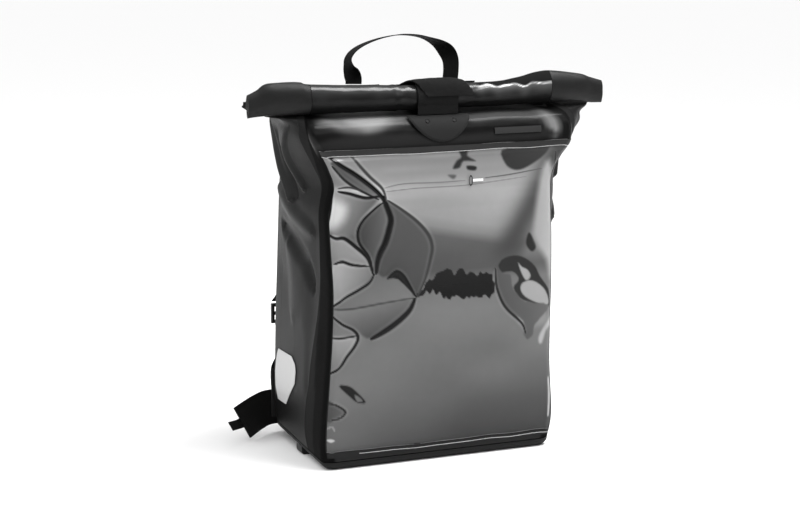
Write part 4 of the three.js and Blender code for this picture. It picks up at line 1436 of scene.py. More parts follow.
    def length(self, low: float, high: float, columns: int) -> Surface:
        """One length of the roll as a closed sheet.

        Args:
            low: where it starts.
            high: where it ends.
            columns: points along it.

        Returns:
            The closed sheet.
        """
        x = np.linspace(low, high, columns)[None]
        turn = np.linspace(0, 1, self.rows)[:, None]
        x, turn = np.broadcast_arrays(x, turn)
        outer = 1 - smooth(turn, *self.wrinkled)
        grid = self.point(x, turn, self.wrinkle(x, turn) * outer)
        core = np.array([(low + high) / 2, *self.middle()])
        dull, tone = self.look(grid, turn)
        pale = linear(tone) - linear(ROLL_GLOSS.tone)
        return Surface.sheet(grid, self.ply, core, dull=dull, pale=pale)

    def build(self) -> None:
        """Builds the shiny middle and the two matte ends."""
        shiny_columns, end_columns = self.columns
        centre = self.length(-self.centre_half, self.centre_half, shiny_columns)
        centre.build("roll_shiny", ROLL_GLOSS, "roll_center")
        for side in Side:
            near, far = side.value * (self.centre_half + self.seam), side.value * self.half
            end = self.length(min(near, far), max(near, far), end_columns)
            end.build(f"roll_cloth_{side.word}", CLOTH, f"roll_end_{side.word}")


@dataclass(frozen=True)
class Patch:
    """Patch of another grey painted on a surface: painted reflections on the film and painted
    highlights on the front.

    Attributes:
        outline: places on its edge, across and up the front, which a smooth curve joins.
        tone: grey in its middle, from 0 to 255.
        soft: width over which its edge fades.
        across: change of the grey for each millimetre across.
        up: the same for each millimetre up.
        ragged: how far its edge wanders.
    """

    outline: tuple[tuple[float, float], ...]
    tone: float
    soft: float = 3
    across: float = 0
    up: float = 0
    ragged: float = 0

    def edge(self) -> Array:
        """Closed curve through the places of the outline."""
        corners = np.array(self.outline, float)
        count, steps = len(corners), 3
        ring = corners[np.arange(-2, count + 3) % count]
        return cubic(ring, (2 + np.arange(steps * count) / steps) / (len(ring) - 1))

    def paint(self, points: Array, tone: Array) -> Array:
        """Lays the patch over a grey, fully inside its edge and fading out across it.

        Args:
            points: places across and up.
            tone: the grey at each.

        Returns:
            The grey under the patch.
        """
        edge = self.edge()
        reach = self.soft + 2 * self.ragged
        near = ((points > edge.min(axis=0) - reach) & (points < edge.max(axis=0) + reach)).all(-1)
        here = points[near]
        moved = here.copy()
        if self.ragged:
            for axis, (cell, seed) in enumerate(((5, 3), (6, 4))):
                moved[:, axis] += noise(here * [1, 0.25], cell, seed) * self.ragged
        away, _ = line_distance(moved, np.concatenate([edge, edge[:1]]))
        signed = np.where(inside(moved, edge), away, -away)
        weight = smooth(signed, -self.soft / 2, self.soft / 2)
        grey = self.tone + (here - edge.mean(axis=0)) @ np.array([self.across, self.up])
        painted = tone.copy()
        painted[near] += (np.clip(grey, *PATCH_GREYS) - tone[near]) * weight
        return painted


# Painted highlights on the front under the roll and round its right corner: grey, softness and
# slopes across and up, then the outline.
PAINTED_FRONT_HIGHLIGHTS = tuple(Patch(places, *numbers) for numbers, places in read_places("""
84 20 -0.1 2.2: -204 562 -150 582 -60 582 -30 568 -54 558 -90 546 -120 530 -150 540 -186 556;
126 20 0 1.5: -156 566 -112 574 -74 572 -92 556 -120 544 -134 550;
62 12 0 1.5: 56 576 120 578 178 576 196 562 170 553 110 555 60 553;
104 18 0.8 -0.6: 184 562 198 566 212 554 216 538 206 524 195 534;
28 12: -190 538 -60 542 40 536 180 540 196 524 40 521 -190 520;
"""))

# Creases of the film, each with its width, its rise and the grey painted along it: painted shade
# in the dark ones, painted highlights on the light ones; then its corners.
FILM_LINES = tuple(Line(places, *numbers) for numbers, places in read_places("""
6.5 3 4: -194 513 -176 498 -150 481 -124 461 -107 445 -100 432;
3.6 1.2 34: -187 496 -168 474 -144 457 -110 439;
9 3 4: -102 444 -100 434 -91 409 -94 390 -101 369 -109 354 -114 339 -116 321;
4.5 1.5 64: -160 518 -144 497 -125 476 -104 456 -98 436;
4.4 1.5 12: -177 455 -159 451 -132 443 -108 445;
2.6 1 60: -177 460 -159 461 -141 455;
4 1.5 12: -104 434 -122 421 -138 406 -146 389 -143 370 -128 349 -122 326;
5 1.2 62: -95 437 -70 420 -45 400 -27 379 -20 359 -23 339 -33 304 -46 279;
5 1.5 8: -192 387 -182 381 -168 380 -150 366 -131 348 -124 331 -121 320;
4 1.5 10: -184 339 -172 343 -155 337 -127 333;
4 2 10: -119 321 -127 307 -145 296 -168 284 -188 268;
3 1.5 78: -185 266 -155 266 -103 272 -50 277;
4.2 1.5 8: -190 258 -173 242 -154 231 -146 219 -152 204 -165 188 -178 170 -199 157;
3 1.2 22: -197 220 -173 219 -150 221;
8 2 6: -50 276 -58 259 -72 245 -90 232 -108 222 -125 214;
4 1 16: -96 311 -82 322 -70 315 -60 298 -48 278;
4 1.2 30: 94 314 94 298 97 280 106 258 118 242 136 226 147 214 152 200;
1.8 0.4 128: -100 457 -67 462 -2 461 40 462;
1.8 0.4 96: 75 464 120 467 180 474;
1.6 0.3 136: -98 451 -40 454 40 454 150 462;
3 0.6 225: -206 512 -196 489 -184 460;
5 0.4 30: -207 456 -202 430 -205 390 -200 340 -206 290 -201 250 -207 210 -202 170 -207 130 -203 80
  -206 40;
4 0.4 40: 205 500 203 440 206 400 204 330 206 300 203 240 206 200 204 120 206 60;
5 0.6 190: 198 120 200 90 198 52;
3 0.6 26: -200 112 -186 111 -168 98 -176 88 -190 86;
3 0.6 150: -198 70 -190 74 -186 66;
2.6 0.5 30: -184 456 -189 424 -194 394 -192 382;
"""))

# Painted reflections on the film: light and dark patches of its creased facets, each with its
# grey, softness, slopes and raggedness, then its outline.
PAINTED_FILM_REFLECTIONS = tuple(Patch(places, *numbers) for numbers, places in read_places("""
148 10 0.2 0.3: -204 510 -188 510 -150 484 -122 460 -176 462 -190 484;
92 4 0.4 0: -189 500 -178 499 -146 474 -112 446 -112 440 -144 456 -168 473;
128 8 -0.9 0.55: -183 453 -140 445 -110 442 -140 409 -152 384 -192 394;
226 24: -190 440 -164 432 -170 408 -192 398;
88 4 0.9 0: -106 434 -124 420 -142 396 -144 372 -127 346 -118 323 -108 349 -94 384 -93 414;
82 5 0.1 0.12: -95 437 -45 400 -23 372 -23 344 -47 278 -67 304 -80 320 -103 315 -114 323 -105 354
  -90 390 -88 414;
152 4 0.2 0.6: -190 385 -168 380 -145 362 -124 331 -160 338 -188 340;
150 5 -0.9 0.5: -186 338 -150 335 -127 332 -121 320 -145 296 -188 268;
118 5 0.1 -0.3: -118 320 -103 313 -80 316 -54 280 -103 272 -172 268 -184 270 -150 292;
104 6 -0.25 0.9: -188 263 -103 269 -54 274 -60 258 -90 234 -125 216 -142 224 -152 233 -172 244;
126 4: -192 254 -172 238 -152 228 -150 223 -196 223;
148 5 0 0.8: -197 217 -150 217 -154 202 -165 188 -199 161;
14 2 0 0.4 5: -47 276 -37 291 -22 306 -8 313 2 319 12 319 20 312 30 317 41 309 62 307 70 309 80
  309 90 303 92 276 85 266 74 272 64 266 50 272 39 266 25 274 12 270 0 276 -13 283 -30 284;
9 3: -82 323 -98 311 -78 309 -50 280 -58 300 -68 315;
58 5 0.1 0.2: 107 507 150 510 196 516 185 497 161 482 140 474 124 476 112 486;
52 5: 28 516 47 512 45 501 59 492 38 493 31 483 19 482 26 494 34 500;
44 4: 44 485 60 483 58 477 45 479;
96 5: 10 472 24 471 19 465;
44 3: 97 307 105 327 128 333 149 327 168 312 178 294 195 271 199 250 194 239 165 249 140 261 128
  279 136 289 136 297 124 307;
176 3: 136 320 143 313 154 307 160 296 152 289 143 301;
176 3: 145 286 164 288 185 274 195 256 194 244 172 250 150 262 141 275;
40 4: 151 358 156 369 163 360 170 344 162 337 152 347;
150 16: 138 244 155 250 192 232 196 216 170 209 140 220;
94 4 0.3 0.12 1.5: 94 322 96 285 116 244 147 222 149 200 156 190 166 197 170 212 194 236 192 246
  150 254 128 276 122 300 106 306;
186 16 0.6 0: 168 404 180 474 199 474 203 334 199 289 190 322 168 356;
190 6: 180 196 200 222 204 212 192 200 184 180 178 182;
18 3: -178 141 -161 139 -147 127 -133 110 -147 111 -160 122;
112 2.5: -152 124 -144 120 -138 112 -148 113;
84 3 0.6 0: -199 118 -187 113 -167 97 -183 88 -196 82;
215 3: -198 52 -192 54 -186 51 -192 48;
"""))


# Painted reflection on the film: its plain grey at each height.
FILM_REFLECTION_GREYS = read_table("""
z   grey
31  80
60  92
107 105
171 116
252 127
296 120
318 90
345 96
353 100
368 143
384 163
414 170
446 184
470 164
510 138
""")


@dataclass
class Film:
    """Clear pocket on the front, with its welds, hems and pull.

    Attributes:
        form: shape of the body.
        low: height of its lower edge.
        high: height of its upper edge.
        turn: share of each front corner that it goes round.
        lift: from the front panel to the film.
        weld: width over which its edges come down to the front panel.
        dark: grey below which a crease has a glint beside it.
        glint: width of the glint.
        glint_tone: how much lighter it is.
        light: share of the greys that it keeps, as the lamps lighten it too.
        greys: lowest and highest grey that it may have.
        columns: points across the film and across a hem.
        rows: points up the film and up its side edges.
        band: across and up, a place on the edge of the dark band of painted reflection.
        band_run: how far the band runs to the right for each millimetre up.
        band_form: from its edge to its middle, its width, its grey and its weight.
        hem: height of a hem.
        hem_ply: thickness of a hem.
        hem_gap: from the film to a hem.
    """

    form: BodyForm
    low: float = 31
    high: float = 509.4
    turn: float = 0.45
    lift: float = 2.2
    weld: float = 9
    dark: float = 70
    glint: float = 4
    glint_tone: float = 13
    light: float = 0.8
    greys: tuple[float, float] = (8, 250)
    columns: tuple[int, int] = (290, 160)
    rows: tuple[int, int] = (320, 220)
    band: tuple[float, float] = (122, 365)
    band_run: float = 0.6
    band_form: tuple[float, float, float, float] = (8, 29, 74, 0.95)
    hem: float = 9
    hem_ply: float = 1
    hem_gap: float = 0.6

    def reach(self) -> float:
        """u of the film's edge at the right."""
        return 1 + self.turn

    def painted_reflection_tone(self, x: Array, z: Array) -> Array:
        """Painted reflection on the film between its creases.

        It changes with the height, and a dark band of painted reflection runs down the right, its
        edges soft, with a lighter strip of painted reflection beyond it.

        Args:
            x: places across the front.
            z: places up it.

        Returns:
            The grey at each.
        """
        # The painted light upper part of the reflection starts higher towards the left.
        tilt = 0.2 * (99 - np.clip(x, -60, 99)) * smooth(z, 315, 345) * smooth(z, 470, 420)
        tone = np.interp(z - tilt, FILM_REFLECTION_GREYS["z"], FILM_REFLECTION_GREYS["grey"])
        # A dark band of painted reflection runs down the right, with a lighter strip beyond it.
        away = x - self.band[0] - self.band_run * (z - self.band[1])
        middle, width, grey, weight = self.band_form
        high = smooth(z, 310, 350)
        tone += (grey - tone) * weight * np.exp(-((away - middle) / width) ** 2) * high
        tone += 30 * smooth(away, 26, 54) * high
        # The painted reflection is lighter towards its lower left corner and darker at the lower
        # right.
        tone += 14 * smooth(x, -60, -190) * smooth(z, 250, 120)
        tone -= 14 * smooth(x, -40, 60) * smooth(z, 160, 40)
        # Painted streaks of reflection in the upper part, and soft uneven patches all over.
        plane = np.stack([x, z], axis=-1)
        streaks = waves(plane * [0.12, 1], (9, 33, 5)) * smooth(z, 380, 450)
        return tone + waves(plane * [0.5, 1], (46, 31, 6)) + streaks

    def grid(self) -> tuple[Array, Array]:
        """Film's points, creased, and each point's place across and up the front."""
        form = self.form
        u = np.linspace(-self.reach(), self.reach(), self.columns[0])[None]
        low, high = form.place_at_front(self.low), form.place_at_front(self.high)
        place = np.linspace(float(low), float(high), self.rows[0])[:, None]
        bare = form.front(u, place)
        plane = np.stack([bare[..., 0], bare[..., 2]], axis=-1)
        rise = np.zeros(plane.shape[:2])
        for line in FILM_LINES:
            rise = np.maximum(rise, line.rise * line_relief(line, plane))
        rise += waves(plane, (70, 41, 0.8)) + waves(plane * [0.6, 1], (26, 42, 0.35))
        edge = np.minimum.reduce([
            (self.reach() - np.abs(u)) * form.front_corner + 0 * plane[..., 0],
            plane[..., 1] - self.low,
            self.high - plane[..., 1],
        ])
        held = smooth(edge, 0, self.weld)
        lift = 0.5 + (self.lift - 0.5 + rise) * held
        return form.front_lifted(u, place, lift), plane

    def film(self) -> Surface:
        """The film, one layer whose edges are welded down, with its painted grey at each point."""
        grid, plane = self.grid()
        tone = self.painted_reflection_tone(plane[..., 0], plane[..., 1])
        for patch in PAINTED_FILM_REFLECTIONS:
            tone = patch.paint(plane, tone)
        # Painted glint beside each dark crease.
        for line in FILM_LINES:
            if line.tone < self.dark:
                glint = Line(line.points, line.width + self.glint).shape(plane)
                tone += self.glint_tone * smooth(glint, 0, 0.5)
        # Painted shade along the dark creases and painted highlights along the light lines.
        for line in FILM_LINES:
            weight = smooth(line.shape(plane), 0.15, 0.75)
            tone += (line.tone - tone) * weight
        light = linear(np.clip(tone * self.light, *self.greys))
        return Surface.open_grid(grid, self.form.ahead(), tone=light)

    def strip(self, heights: tuple[float, float], lift: float, rows: int, wave: float = 0,
              start: float | None = None) -> Array:
        """Grid of a strip across the front.

        Args:
            heights: of its lower and upper edge.
            lift: how far it stands off the front.
            rows: points up it.
            wave: how far it wanders up and down.
            start: u of its left end, by default the film's edge.

        Returns:
            The grid.
        """
        left = -self.reach() if start is None else start
        u = np.linspace(left, self.reach(), self.columns[1])[None]
        z = np.linspace(*heights, rows)[:, None] + waves(along_x(u * 60), (14, 6, wave))
        return self.form.front_lifted(u, self.form.place_at_front(z), lift)

    def bead(self, low: float, wide: float, tall: float, start: float | None = None) -> Surface:
        """Thin raised edge across the front, `wide` up it from a height on."""
        grid = self.strip((low, low + wide), 0.3, 3, 1.2, start)
        return Surface.sheet(grid, tall, self.form.ahead())

    def side_bead(self, side: Side) -> Surface:
        """Cut edge of the film up one side of the front."""
        form, reach = self.form, self.reach()
        u = side.value * np.linspace(reach - 0.015, reach + 0.055, 3)[None]
        z = np.linspace(self.low, self.high, self.rows[1])[:, None]
        return Surface.sheet(form.front_lifted(u, form.place_at_front(z), 0.3), 0.7, form.ahead())

    def build(self) -> None:
        """Builds the film, its welds, hems and pull in place of their solids."""
        self.film().build("film_pocket", FILM, "window_film", crease=60)
        over, under = self.high + self.hem_gap, self.low - self.hem_gap - self.hem
        for word, low, finish in (("bottom", under, GLOSS), ("top", over, HEM)):
            grid = self.strip((low, low + self.hem), self.form.gap, 5)
            hem = Surface.sheet(grid, self.hem_ply, self.form.ahead())
            hem.build(f"hem_{word}", finish, f"pocket_hem_{word}")
        for name, weld, finish in (
            ("weld_top", self.bead(self.high - 0.3, 0.6, 1.3), WELD_HIGHLIGHT),
            ("weld_bottom", self.bead(self.low - 0.3, 0.6, 1.1), DIM_WELD_HIGHLIGHT),
            ("weld_hem", self.bead(self.high + self.hem, 0.5, 1), DIM_WELD_HIGHLIGHT),
            ("weld_foot", self.bead(self.low - 6.4, 0.6, 1.6, -0.78), WELD_HIGHLIGHT),
            ("weld_left", self.side_bead(Side.LEFT), GLOSS),
            ("weld_right", self.side_bead(Side.RIGHT), GLOSS),
        ):
            weld.build(name, finish)
        dress("pocket_pull", WHITE)
        dress("pocket_loop", PLASTIC)


def line_relief(line: Line, plane: Array) -> Array:
    """Height of a crease as a share of its rise: broader than its line, pointed on it."""
    return Line(line.points, line.width * CREASE_WIDTH).shape(plane, 3) ** CREASE_POWER


def dress(node: str, finish: Finish) -> None:
    """Gives a solid that stays its material."""
    solid = bpy.data.objects[node]
    solid.data.materials.clear()
    solid.data.materials.append(finish.material())
    LOG.info("%s: solid kept", node)


def band(points: Array, across: Array, width: Array | float, thickness: float,
         towards: Array, columns: int = 9) -> Surface:
    """Flat strap along a route.

    Args:
        points: the route.
        across: direction of the strap's width at each point of it.
        width: of the strap.
        thickness: of the strap.
        towards: a point on the side on which the thickness is added.
        columns: points across it.

    Returns:
        The closed strap.
    """
    share = np.linspace(-0.5, 0.5, columns)
    offset = across[:, None] * (share * np.ones((len(points), 1)))[..., None]
    grid = points[:, None] + offset * np.reshape(np.broadcast_to(width, len(points)), (-1, 1, 1))
    return Surface.sheet(grid, thickness, towards)


def finer(values: Array, count: int) -> Array:
    """Smooth curve of `count` points through the rows of an array."""
    return cubic(np.asarray(values, float), np.linspace(0, 1, count))


@dataclass
class Closure:
    """Half round patch with two rivets, the tab up the roll and the strap over it."""

    form: BodyForm
    roll: Roll
    tab_width: float = 70
    strap_width: float = 84
    ply: float = 2.2
    skew: float = 44
    tab_arc: tuple[float, float] = (208, 112)
    strap_arc: tuple[float, float] = (172, 52)
    strap_end: tuple[float, ...] = (-0.13, -0.08, 0)
    strap_rise: float = 5
    x: float = 4
    patch_width: float = 108
    patch_low: float = 525.1
    patch_ply: float = 2
    patch_gap: float = 0.7
    rivet_spacing: float = 47
    rivet_down: float = 0.36
    dimple: float = 4.2
    top_row: int = 13

    def top_place(self) -> float:
        """Place at which the front's top bend ends."""
        return self.top_row / (len(SECTIONS["flat"]) - 1)

    def patch_point(self, x: Array, down: Array, lift: Array | float) -> Array:
        """Point of the patch: x from its middle, and the share of its drop.

        Args:
            x: from the patch's middle.
            down: share of its drop.
            lift: off the front.

        Returns:
            The points, in millimetres.
        """
        top = self.top_place()
        low = float(self.form.place_at_front(self.patch_low))
        place = top + (low - top) * down
        return self.form.front_lifted(self.form.front_share(self.x + x, place), place, lift)

    def patch(self) -> Surface:
        """Half round patch, thinned at its edge, with a dimple round each rivet."""
        angle = np.radians(np.linspace(0, 84, 60))[:, None]
        share = np.linspace(-1, 1, 90)[None]
        x = share * self.patch_width / 2 * np.cos(angle)
        down = np.sin(angle) + 0 * x
        grid = self.patch_point(x, down, self.patch_gap)
        drop = float(self.patch_point(np.array(0.0), np.array(0.0), 0)[2]) - self.patch_low
        reach = np.hypot(x / (self.patch_width / 2), down)
        thick = self.patch_ply * (0.35 + 0.65 * smooth(1 - reach, 0, 0.06))
        for side in Side:
            off_x = x - side.value * self.rivet_spacing / 2
            off_z = (down - self.rivet_down) * drop
            near = np.hypot(off_x, off_z)
            thick = thick * (1 - 0.75 * smooth(near, self.dimple, self.dimple - 1.2))
        return Surface.sheet(grid, thick, self.form.ahead())

    def tab(self) -> Surface:
        """Tab from the patch up the front of the roll."""
        start = self.patch_point(np.array([0.0]), np.array([0.0]), self.patch_gap)[0]
        foot = start + np.array([0, -self.patch_ply, self.ply])
        arc = self.roll.over(np.full(40, self.x), np.linspace(*self.tab_arc, 40), self.form.gap)
        points = np.concatenate([foot[None], arc])
        points[:, 0] = self.x
        return band(points, np.tile([1.0, 0, 0], (len(points), 1)), self.tab_width, self.ply,
                    np.array([0, -2 * self.form.depth, self.form.top]), 40)

    def strap(self) -> Surface:
        """Strap that comes over the roll from the back and lies on the tab."""
        lift = self.form.gap * 2 + self.ply
        lift = lift + self.strap_rise * np.sin(np.linspace(0, np.pi, 60)) ** 2
        arc = self.roll.over(np.full(60, self.x), np.linspace(*self.strap_arc, 60), lift)
        height = self.form.point(self.top_place(), Side.RIGHT, Region.BACK, 1.0)[2]
        ends = [[0, share * self.form.depth, float(height) + 2 * self.form.gap]
                for share in self.strap_end]
        points = np.concatenate([arc, finer(np.array([arc[-1], *ends]), 16)[1:]])
        points[:, 0] = self.x + self.skew * (0.5 - np.linspace(0, 1, len(points)))
        share = np.linspace(-1, 1, 50)
        grid = points[:, None] + share[:, None] * np.array([self.strap_width / 2, 0, 0])
        uneven = waves(grid, (17, 51, 0.8), (6, 52, 0.35)) - 2.2 * np.abs(share) ** 3
        top = np.array([0, -self.form.depth, self.form.top * 2])
        held = smooth(np.linspace(0, 1, len(points)), 0, 0.15)[:, None]
        grid = lifted(grid, uneven * held, top)
        grid[..., 0] += waves(grid, (5, 53, 1.2)) * np.abs(share) ** 8
        return Surface.sheet(grid, self.ply, top)

    def build(self) -> None:
        """Builds the patch, the tab and the strap in place of their solids."""
        self.patch().build("patch", PATCH, "strap_patch")
        self.tab().build("roll_tab", STRAP, "closure_tab")
        self.strap().build("roll_strap", STRAP, "closure_strap")
        for side in Side:
            dress(f"rivet_{side.word}", RIVET)


HANDLE_ROUTE = read_table("""
x     z     twist
-1    0     0
-1    0.1   -0.08
-1.04 0.22  -0.4
-1.1  0.36  -0.8
-1.12 0.52  -0.98
-1.04 0.66  -1.02
-0.88 0.78  -1.04
-0.65 0.88  -1.06
-0.38 0.955 -1.07
-0.05 1     -1.07
0.26  0.98  -1.07
0.52  0.91  -1.1
0.76  0.79  -1.3
0.93  0.62  -1.65
1.01  0.44  -1.9
1.02  0.22  -2
1     0     -2
""")


@dataclass
class Handle:
    """Carry handle of webbing that turns over as it rises, on two tabs."""

    form: BodyForm
    width: float = 28
    ply: float = 1.4
    y: float = 40
    span: float = 174
    rise: float = 80
    seat: float = 6
    anchor_length: float = 54
    anchor_ply: float = 3
    anchor_shift: float = 13
    rows: int = 130

    def top(self, x: Array, y: Array, lift: float) -> Array:
        """Point of the bag's top at x and y."""
        form = self.form
        place = solve(lambda k: -form.row("backY", k) * form.depth, -np.asarray(y, float))
        return np.stack(np.broadcast_arrays(x, y, form.back_height(place) + lift), axis=-1)

    def anchor(self, side: Side) -> Surface:
        """Tab under one end of the handle, a little crumpled.

        Args:
            side: which end.

        Returns:
            The closed tab.
        """
        middle = side.value * self.span / 2 + self.anchor_shift
        x = np.linspace(middle - self.anchor_length / 2, middle + self.anchor_length / 2, 40)[None]
        y = np.linspace(self.y - self.width / 2, self.y + self.width / 2, 18)[:, None]
        grid = self.top(x, y, self.form.gap)
        thick = self.anchor_ply * (0.8 + 0.2 * noise(grid, 9, 12))
        return Surface.sheet(grid, thick, np.array([0, 0, self.form.top * 2]))

    def strap(self) -> Surface:
        """Handle: its width turns from crosswise at the feet to front to back on top.

        It turns the same way up one side and down the other, by quarter turns.
        """
        gap = self.form.gap
        foot = float(self.top(0.0, self.y - self.seat, 3 * gap + self.anchor_ply)[2])
        x, z, twist = (finer(HANDLE_ROUTE[name], self.rows) for name in ("x", "z", "twist"))
        points = np.stack([x * self.span / 2, 0 * x + self.y, foot + z * self.rise], axis=-1)
        along = unit(np.gradient(points, axis=0))
        flat = np.array([0.0, 1, 0])
        facing = np.cross(flat, along)
        angle = twist[:, None] * np.pi / 2
        across = facing * np.cos(angle) + flat * np.sin(angle)
        return band(points, across, self.width, self.ply, np.array([0, self.y, self.form.top]), 12)

    def build(self) -> None:
        """Builds the tabs and the handle in place of their solids."""
        for side in Side:
            self.anchor(side).build(f"anchor_{side.word}", WEBBING, f"handle_anchor_{side.word}")
        self.strap().build("handle", WEBBING, "carry_handle")


SHOULDER_ROUTE = read_table("""
x    stand z     wide
0.3  0     0.9   0.9
0.3  0.02  0.865 0.95
0.31 0.3   0.83  1
0.34 0.68  0.775 1
0.39 0.92  0.7   1
0.46 1     0.61  1
0.56 0.94  0.53  1
0.68 0.76  0.46  0.9
0.78 0.58  0.41  0.75
0.88 0.47  0.38  0.62
""")

BELT_ROUTE = read_table("""
out  front z    slant
-0.5 0     0.73 0.15
0    0     0.72 0.2
0.3  0.25  0.67 0.3
0.6  0.65  0.61 0.42
0.82 1     0.57 0.52
""")

BELT_TAIL = read_table("""
along up
0.4   0
1     0
1.8   0.2
2.5   0.4
""")


@dataclass
class Harness:
    """Pads, shoulder straps, hip fins and their webbing, behind the bag."""

    form: BodyForm
    pad_thick: float = 15
    back_half: float = 138
    back_pad: tuple[float, float] = (134, 484)
    lumbar_half: float = 208
    lumbar: tuple[float, float] = (32, 116)
    shoulder_width: float = 62
    shoulder_thick: float = 11
    shoulder_reach: float = 52
    webbing_width: float = 25
    webbing_ply: float = 2
    webbing_inset: float = 17
    webbing_slack: float = 14
    buckle_height: float = 34
    buckle_set: float = 2
    belt_width: float = 62
    belt_ply: float = 3
    belt_reach: float = 76
    belt_curl: float = 46
    tail_width: float = 18
    channel: float = 70

    def pad(self, half: float, low: float, high: float, channels: bool) -> Surface:
        """Foam pad: flat on the back, crowned behind, thin at its edge and sewn channels.

        Args:
            half: half of its width.
            low: height of its lower edge.
            high: height of its upper edge.
            channels: whether seams cross it.

        Returns:
            The closed pad.
        """
        share_x = np.sin(np.linspace(-1, 1, 80) * np.pi / 2)[None]
        share_z = np.sin(np.linspace(-1, 1, 110) * np.pi / 2)[:, None]
        x = half * share_x
        z = (low + high) / 2 + (high - low) / 2 * share_z
        grid = self.form.back(x, z, self.form.gap)
        margin = np.minimum(half - np.abs(x), (high - low) / 2 * (1 - np.abs(share_z)))
        crown = 0.35 + 0.65 * smooth(margin, 0, 24) ** 0.5
        if channels:
            seam = np.abs((z - low) / self.channel - np.round((z - low) / self.channel))
            sewn = smooth(seam * self.channel, 0, 7)
            spine = smooth(np.abs(x), 0, 9)
            inner = smooth(margin, 8, 20)
            crown = crown * (1 - 0.5 * (1 - sewn * spine) * inner)
        return Surface.sheet(grid, self.pad_thick * crown, self.form.behind())

    def shoulder(self, side: Side) -> Surface:
        """Shoulder strap: foam that swells between its two bound edges.

        Args:
            side: which strap.

        Returns:
            The closed strap.
        """
        count = 120
        rows = {name: finer(column, count) for name, column in SHOULDER_ROUTE.items()}
        x = side.value * rows["x"] * self.form.width / 2
        points = self.form.back(x, rows["z"] * self.form.top, 0.0)
        points[:, 1] += self.form.gap + rows["stand"] * self.shoulder_reach
        share = np.sin(np.linspace(-1, 1, 26) * np.pi / 2) / 2
        grid = np.repeat(points[:, None], len(share), axis=1)
        grid[..., 0] += share * (self.shoulder_width * rows["wide"])[:, None]
        swell = 0.3 + 0.7 * (1 - (2 * np.abs(share)) ** 3)[None]
        ends = np.linspace(0, 1, count)[:, None]
        swell = swell * (0.45 + 0.55 * smooth(ends, 0, 0.06) * smooth(1 - ends, 0, 0.06))
        return Surface.sheet(grid, self.shoulder_thick * swell, self.form.behind())

    def webbing(self, side: Side) -> Surface:
        """Webbing from the lumbar pad's end up to the buckle.

        Args:
            side: which side.

        Returns:
            The closed webbing.
        """
        form = self.form
        end = form.back(side.value * 0.88 * form.width / 2, 0.38 * form.top, 0.0)
        end_y = end[1] + form.gap + 0.47 * self.shoulder_reach + self.buckle_set
        top = end[2] - self.shoulder_thick / 2 - self.buckle_height - form.gap
        low_x = side.value * (self.lumbar_half - self.webbing_inset)
        pad = form.depth / 2 + 2 * form.gap + self.pad_thick
        low = np.array([low_x, pad, sum(self.lumbar) / 2])
        seat = np.array([low_x, pad, self.lumbar[1]])
        high = np.array([end[0], end_y, top])
        slack = (seat + high) / 2 - np.array([side.value * self.webbing_slack, 0, 0])
        points = finer(np.array([low, seat, slack, high]), 60)
        across = np.tile([1.0, 0, 0], (60, 1))
        return band(points, across, self.webbing_width, self.webbing_ply, self.form.behind(), 8)

    def belt(self, side: Side) -> tuple[Surface, Surface]:
        """Hip fin that curls forward, and the loose webbing at its tip.

        Args:
            side: which side.

        Returns:
            The fin and the webbing.
        """
        rows = BELT_ROUTE
        pad = self.form.depth / 2 + 3 * self.form.gap + self.pad_thick + self.webbing_ply
        points = np.stack([
            side.value * (self.lumbar_half + rows["out"] * self.belt_reach),
            pad - rows["front"] * self.belt_curl,
            rows["z"] * self.belt_width,
        ], axis=-1)
        across = np.stack([side.value * rows["slant"], 0 * rows["z"], 1 + 0 * rows["z"]], axis=-1)
        across = unit(across)
        fin = band(finer(points, 50), finer(across, 50), self.belt_width, self.belt_ply,
                   self.form.behind(), 20)
        near, tip = points[-2], points[-1]
        run = tip - near
        k = np.minimum(BELT_TAIL["along"], 1)[:, None]
        turned = unit(across[-2] * (1 - k) + across[-1] * k)
        off = unit(np.cross(run, turned))
        off *= np.sign(off[:, 1:2]) * (self.belt_ply + 2 * self.form.gap)
        route = near + run * BELT_TAIL["along"][:, None] + off
        route[:, 2] += BELT_TAIL["up"] * self.tail_width
        tail = band(finer(route, 40), finer(turned, 40), self.tail_width, self.webbing_ply,
                    self.form.behind(), 8)
        return fin, tail

    def build(self) -> None:
        """Builds the padded pieces and the webbing in place of their solids."""
        back = self.pad(self.back_half, *self.back_pad, True)
        lumbar = self.pad(self.lumbar_half, *self.lumbar, False)
        padded = [
            back.build("pad_back", PADDING, "back_pad"),
            lumbar.build("pad_lumbar", PADDING, "lumbar_pad"),
        ]
        for side in Side:
            word = side.word
            strap = self.shoulder(side)
            padded.append(strap.build(f"shoulder_{word}", PADDING, f"shoulder_strap_{word}"))
            self.webbing(side).build(f"ladder_webbing_{word}", WEBBING, f"webbing_{word}")
            fin, tail = self.belt(side)
            fin.build(f"hip_fin_{word}", WEBBING, f"belt_fin_{word}")
            tail.build(f"hip_webbing_{word}", WEBBING, f"belt_webbing_{word}")
            dress(f"buckle_{word}", PLASTIC)


@dataclass(frozen=True)
class SoftBox:
    """Rectangular lamp of a studio, aimed at a place on the bag.

    Attributes:
        name: of the lamp.
        place: where it stands, in metres.
        aim: where it points.
        size: width and height in metres.
        power: in watts.
    """

    name: str
    place: tuple[float, float, float]
    size: tuple[float, float]
    power: float
    aim: tuple[float, float, float] = (0, 0, 0.3)

    def lamp(self) -> bpy.types.Light:
        """Gives the lamp itself."""
        lamp = bpy.data.lights.new(self.name, "AREA")
        lamp.shape = "RECTANGLE"
        lamp.size, lamp.size_y = self.size
        lamp.energy = self.power
        return lamp

    def build(self) -> None:
        """Makes the lamp and aims it."""
        lamp = self.lamp()
        thing = bpy.data.objects.new(self.name, lamp)
        thing.location = self.place
        run = np.array(self.aim) - np.array(self.place)
        thing.rotation_euler = direction(run)
        bpy.context.scene.collection.objects.link(thing)


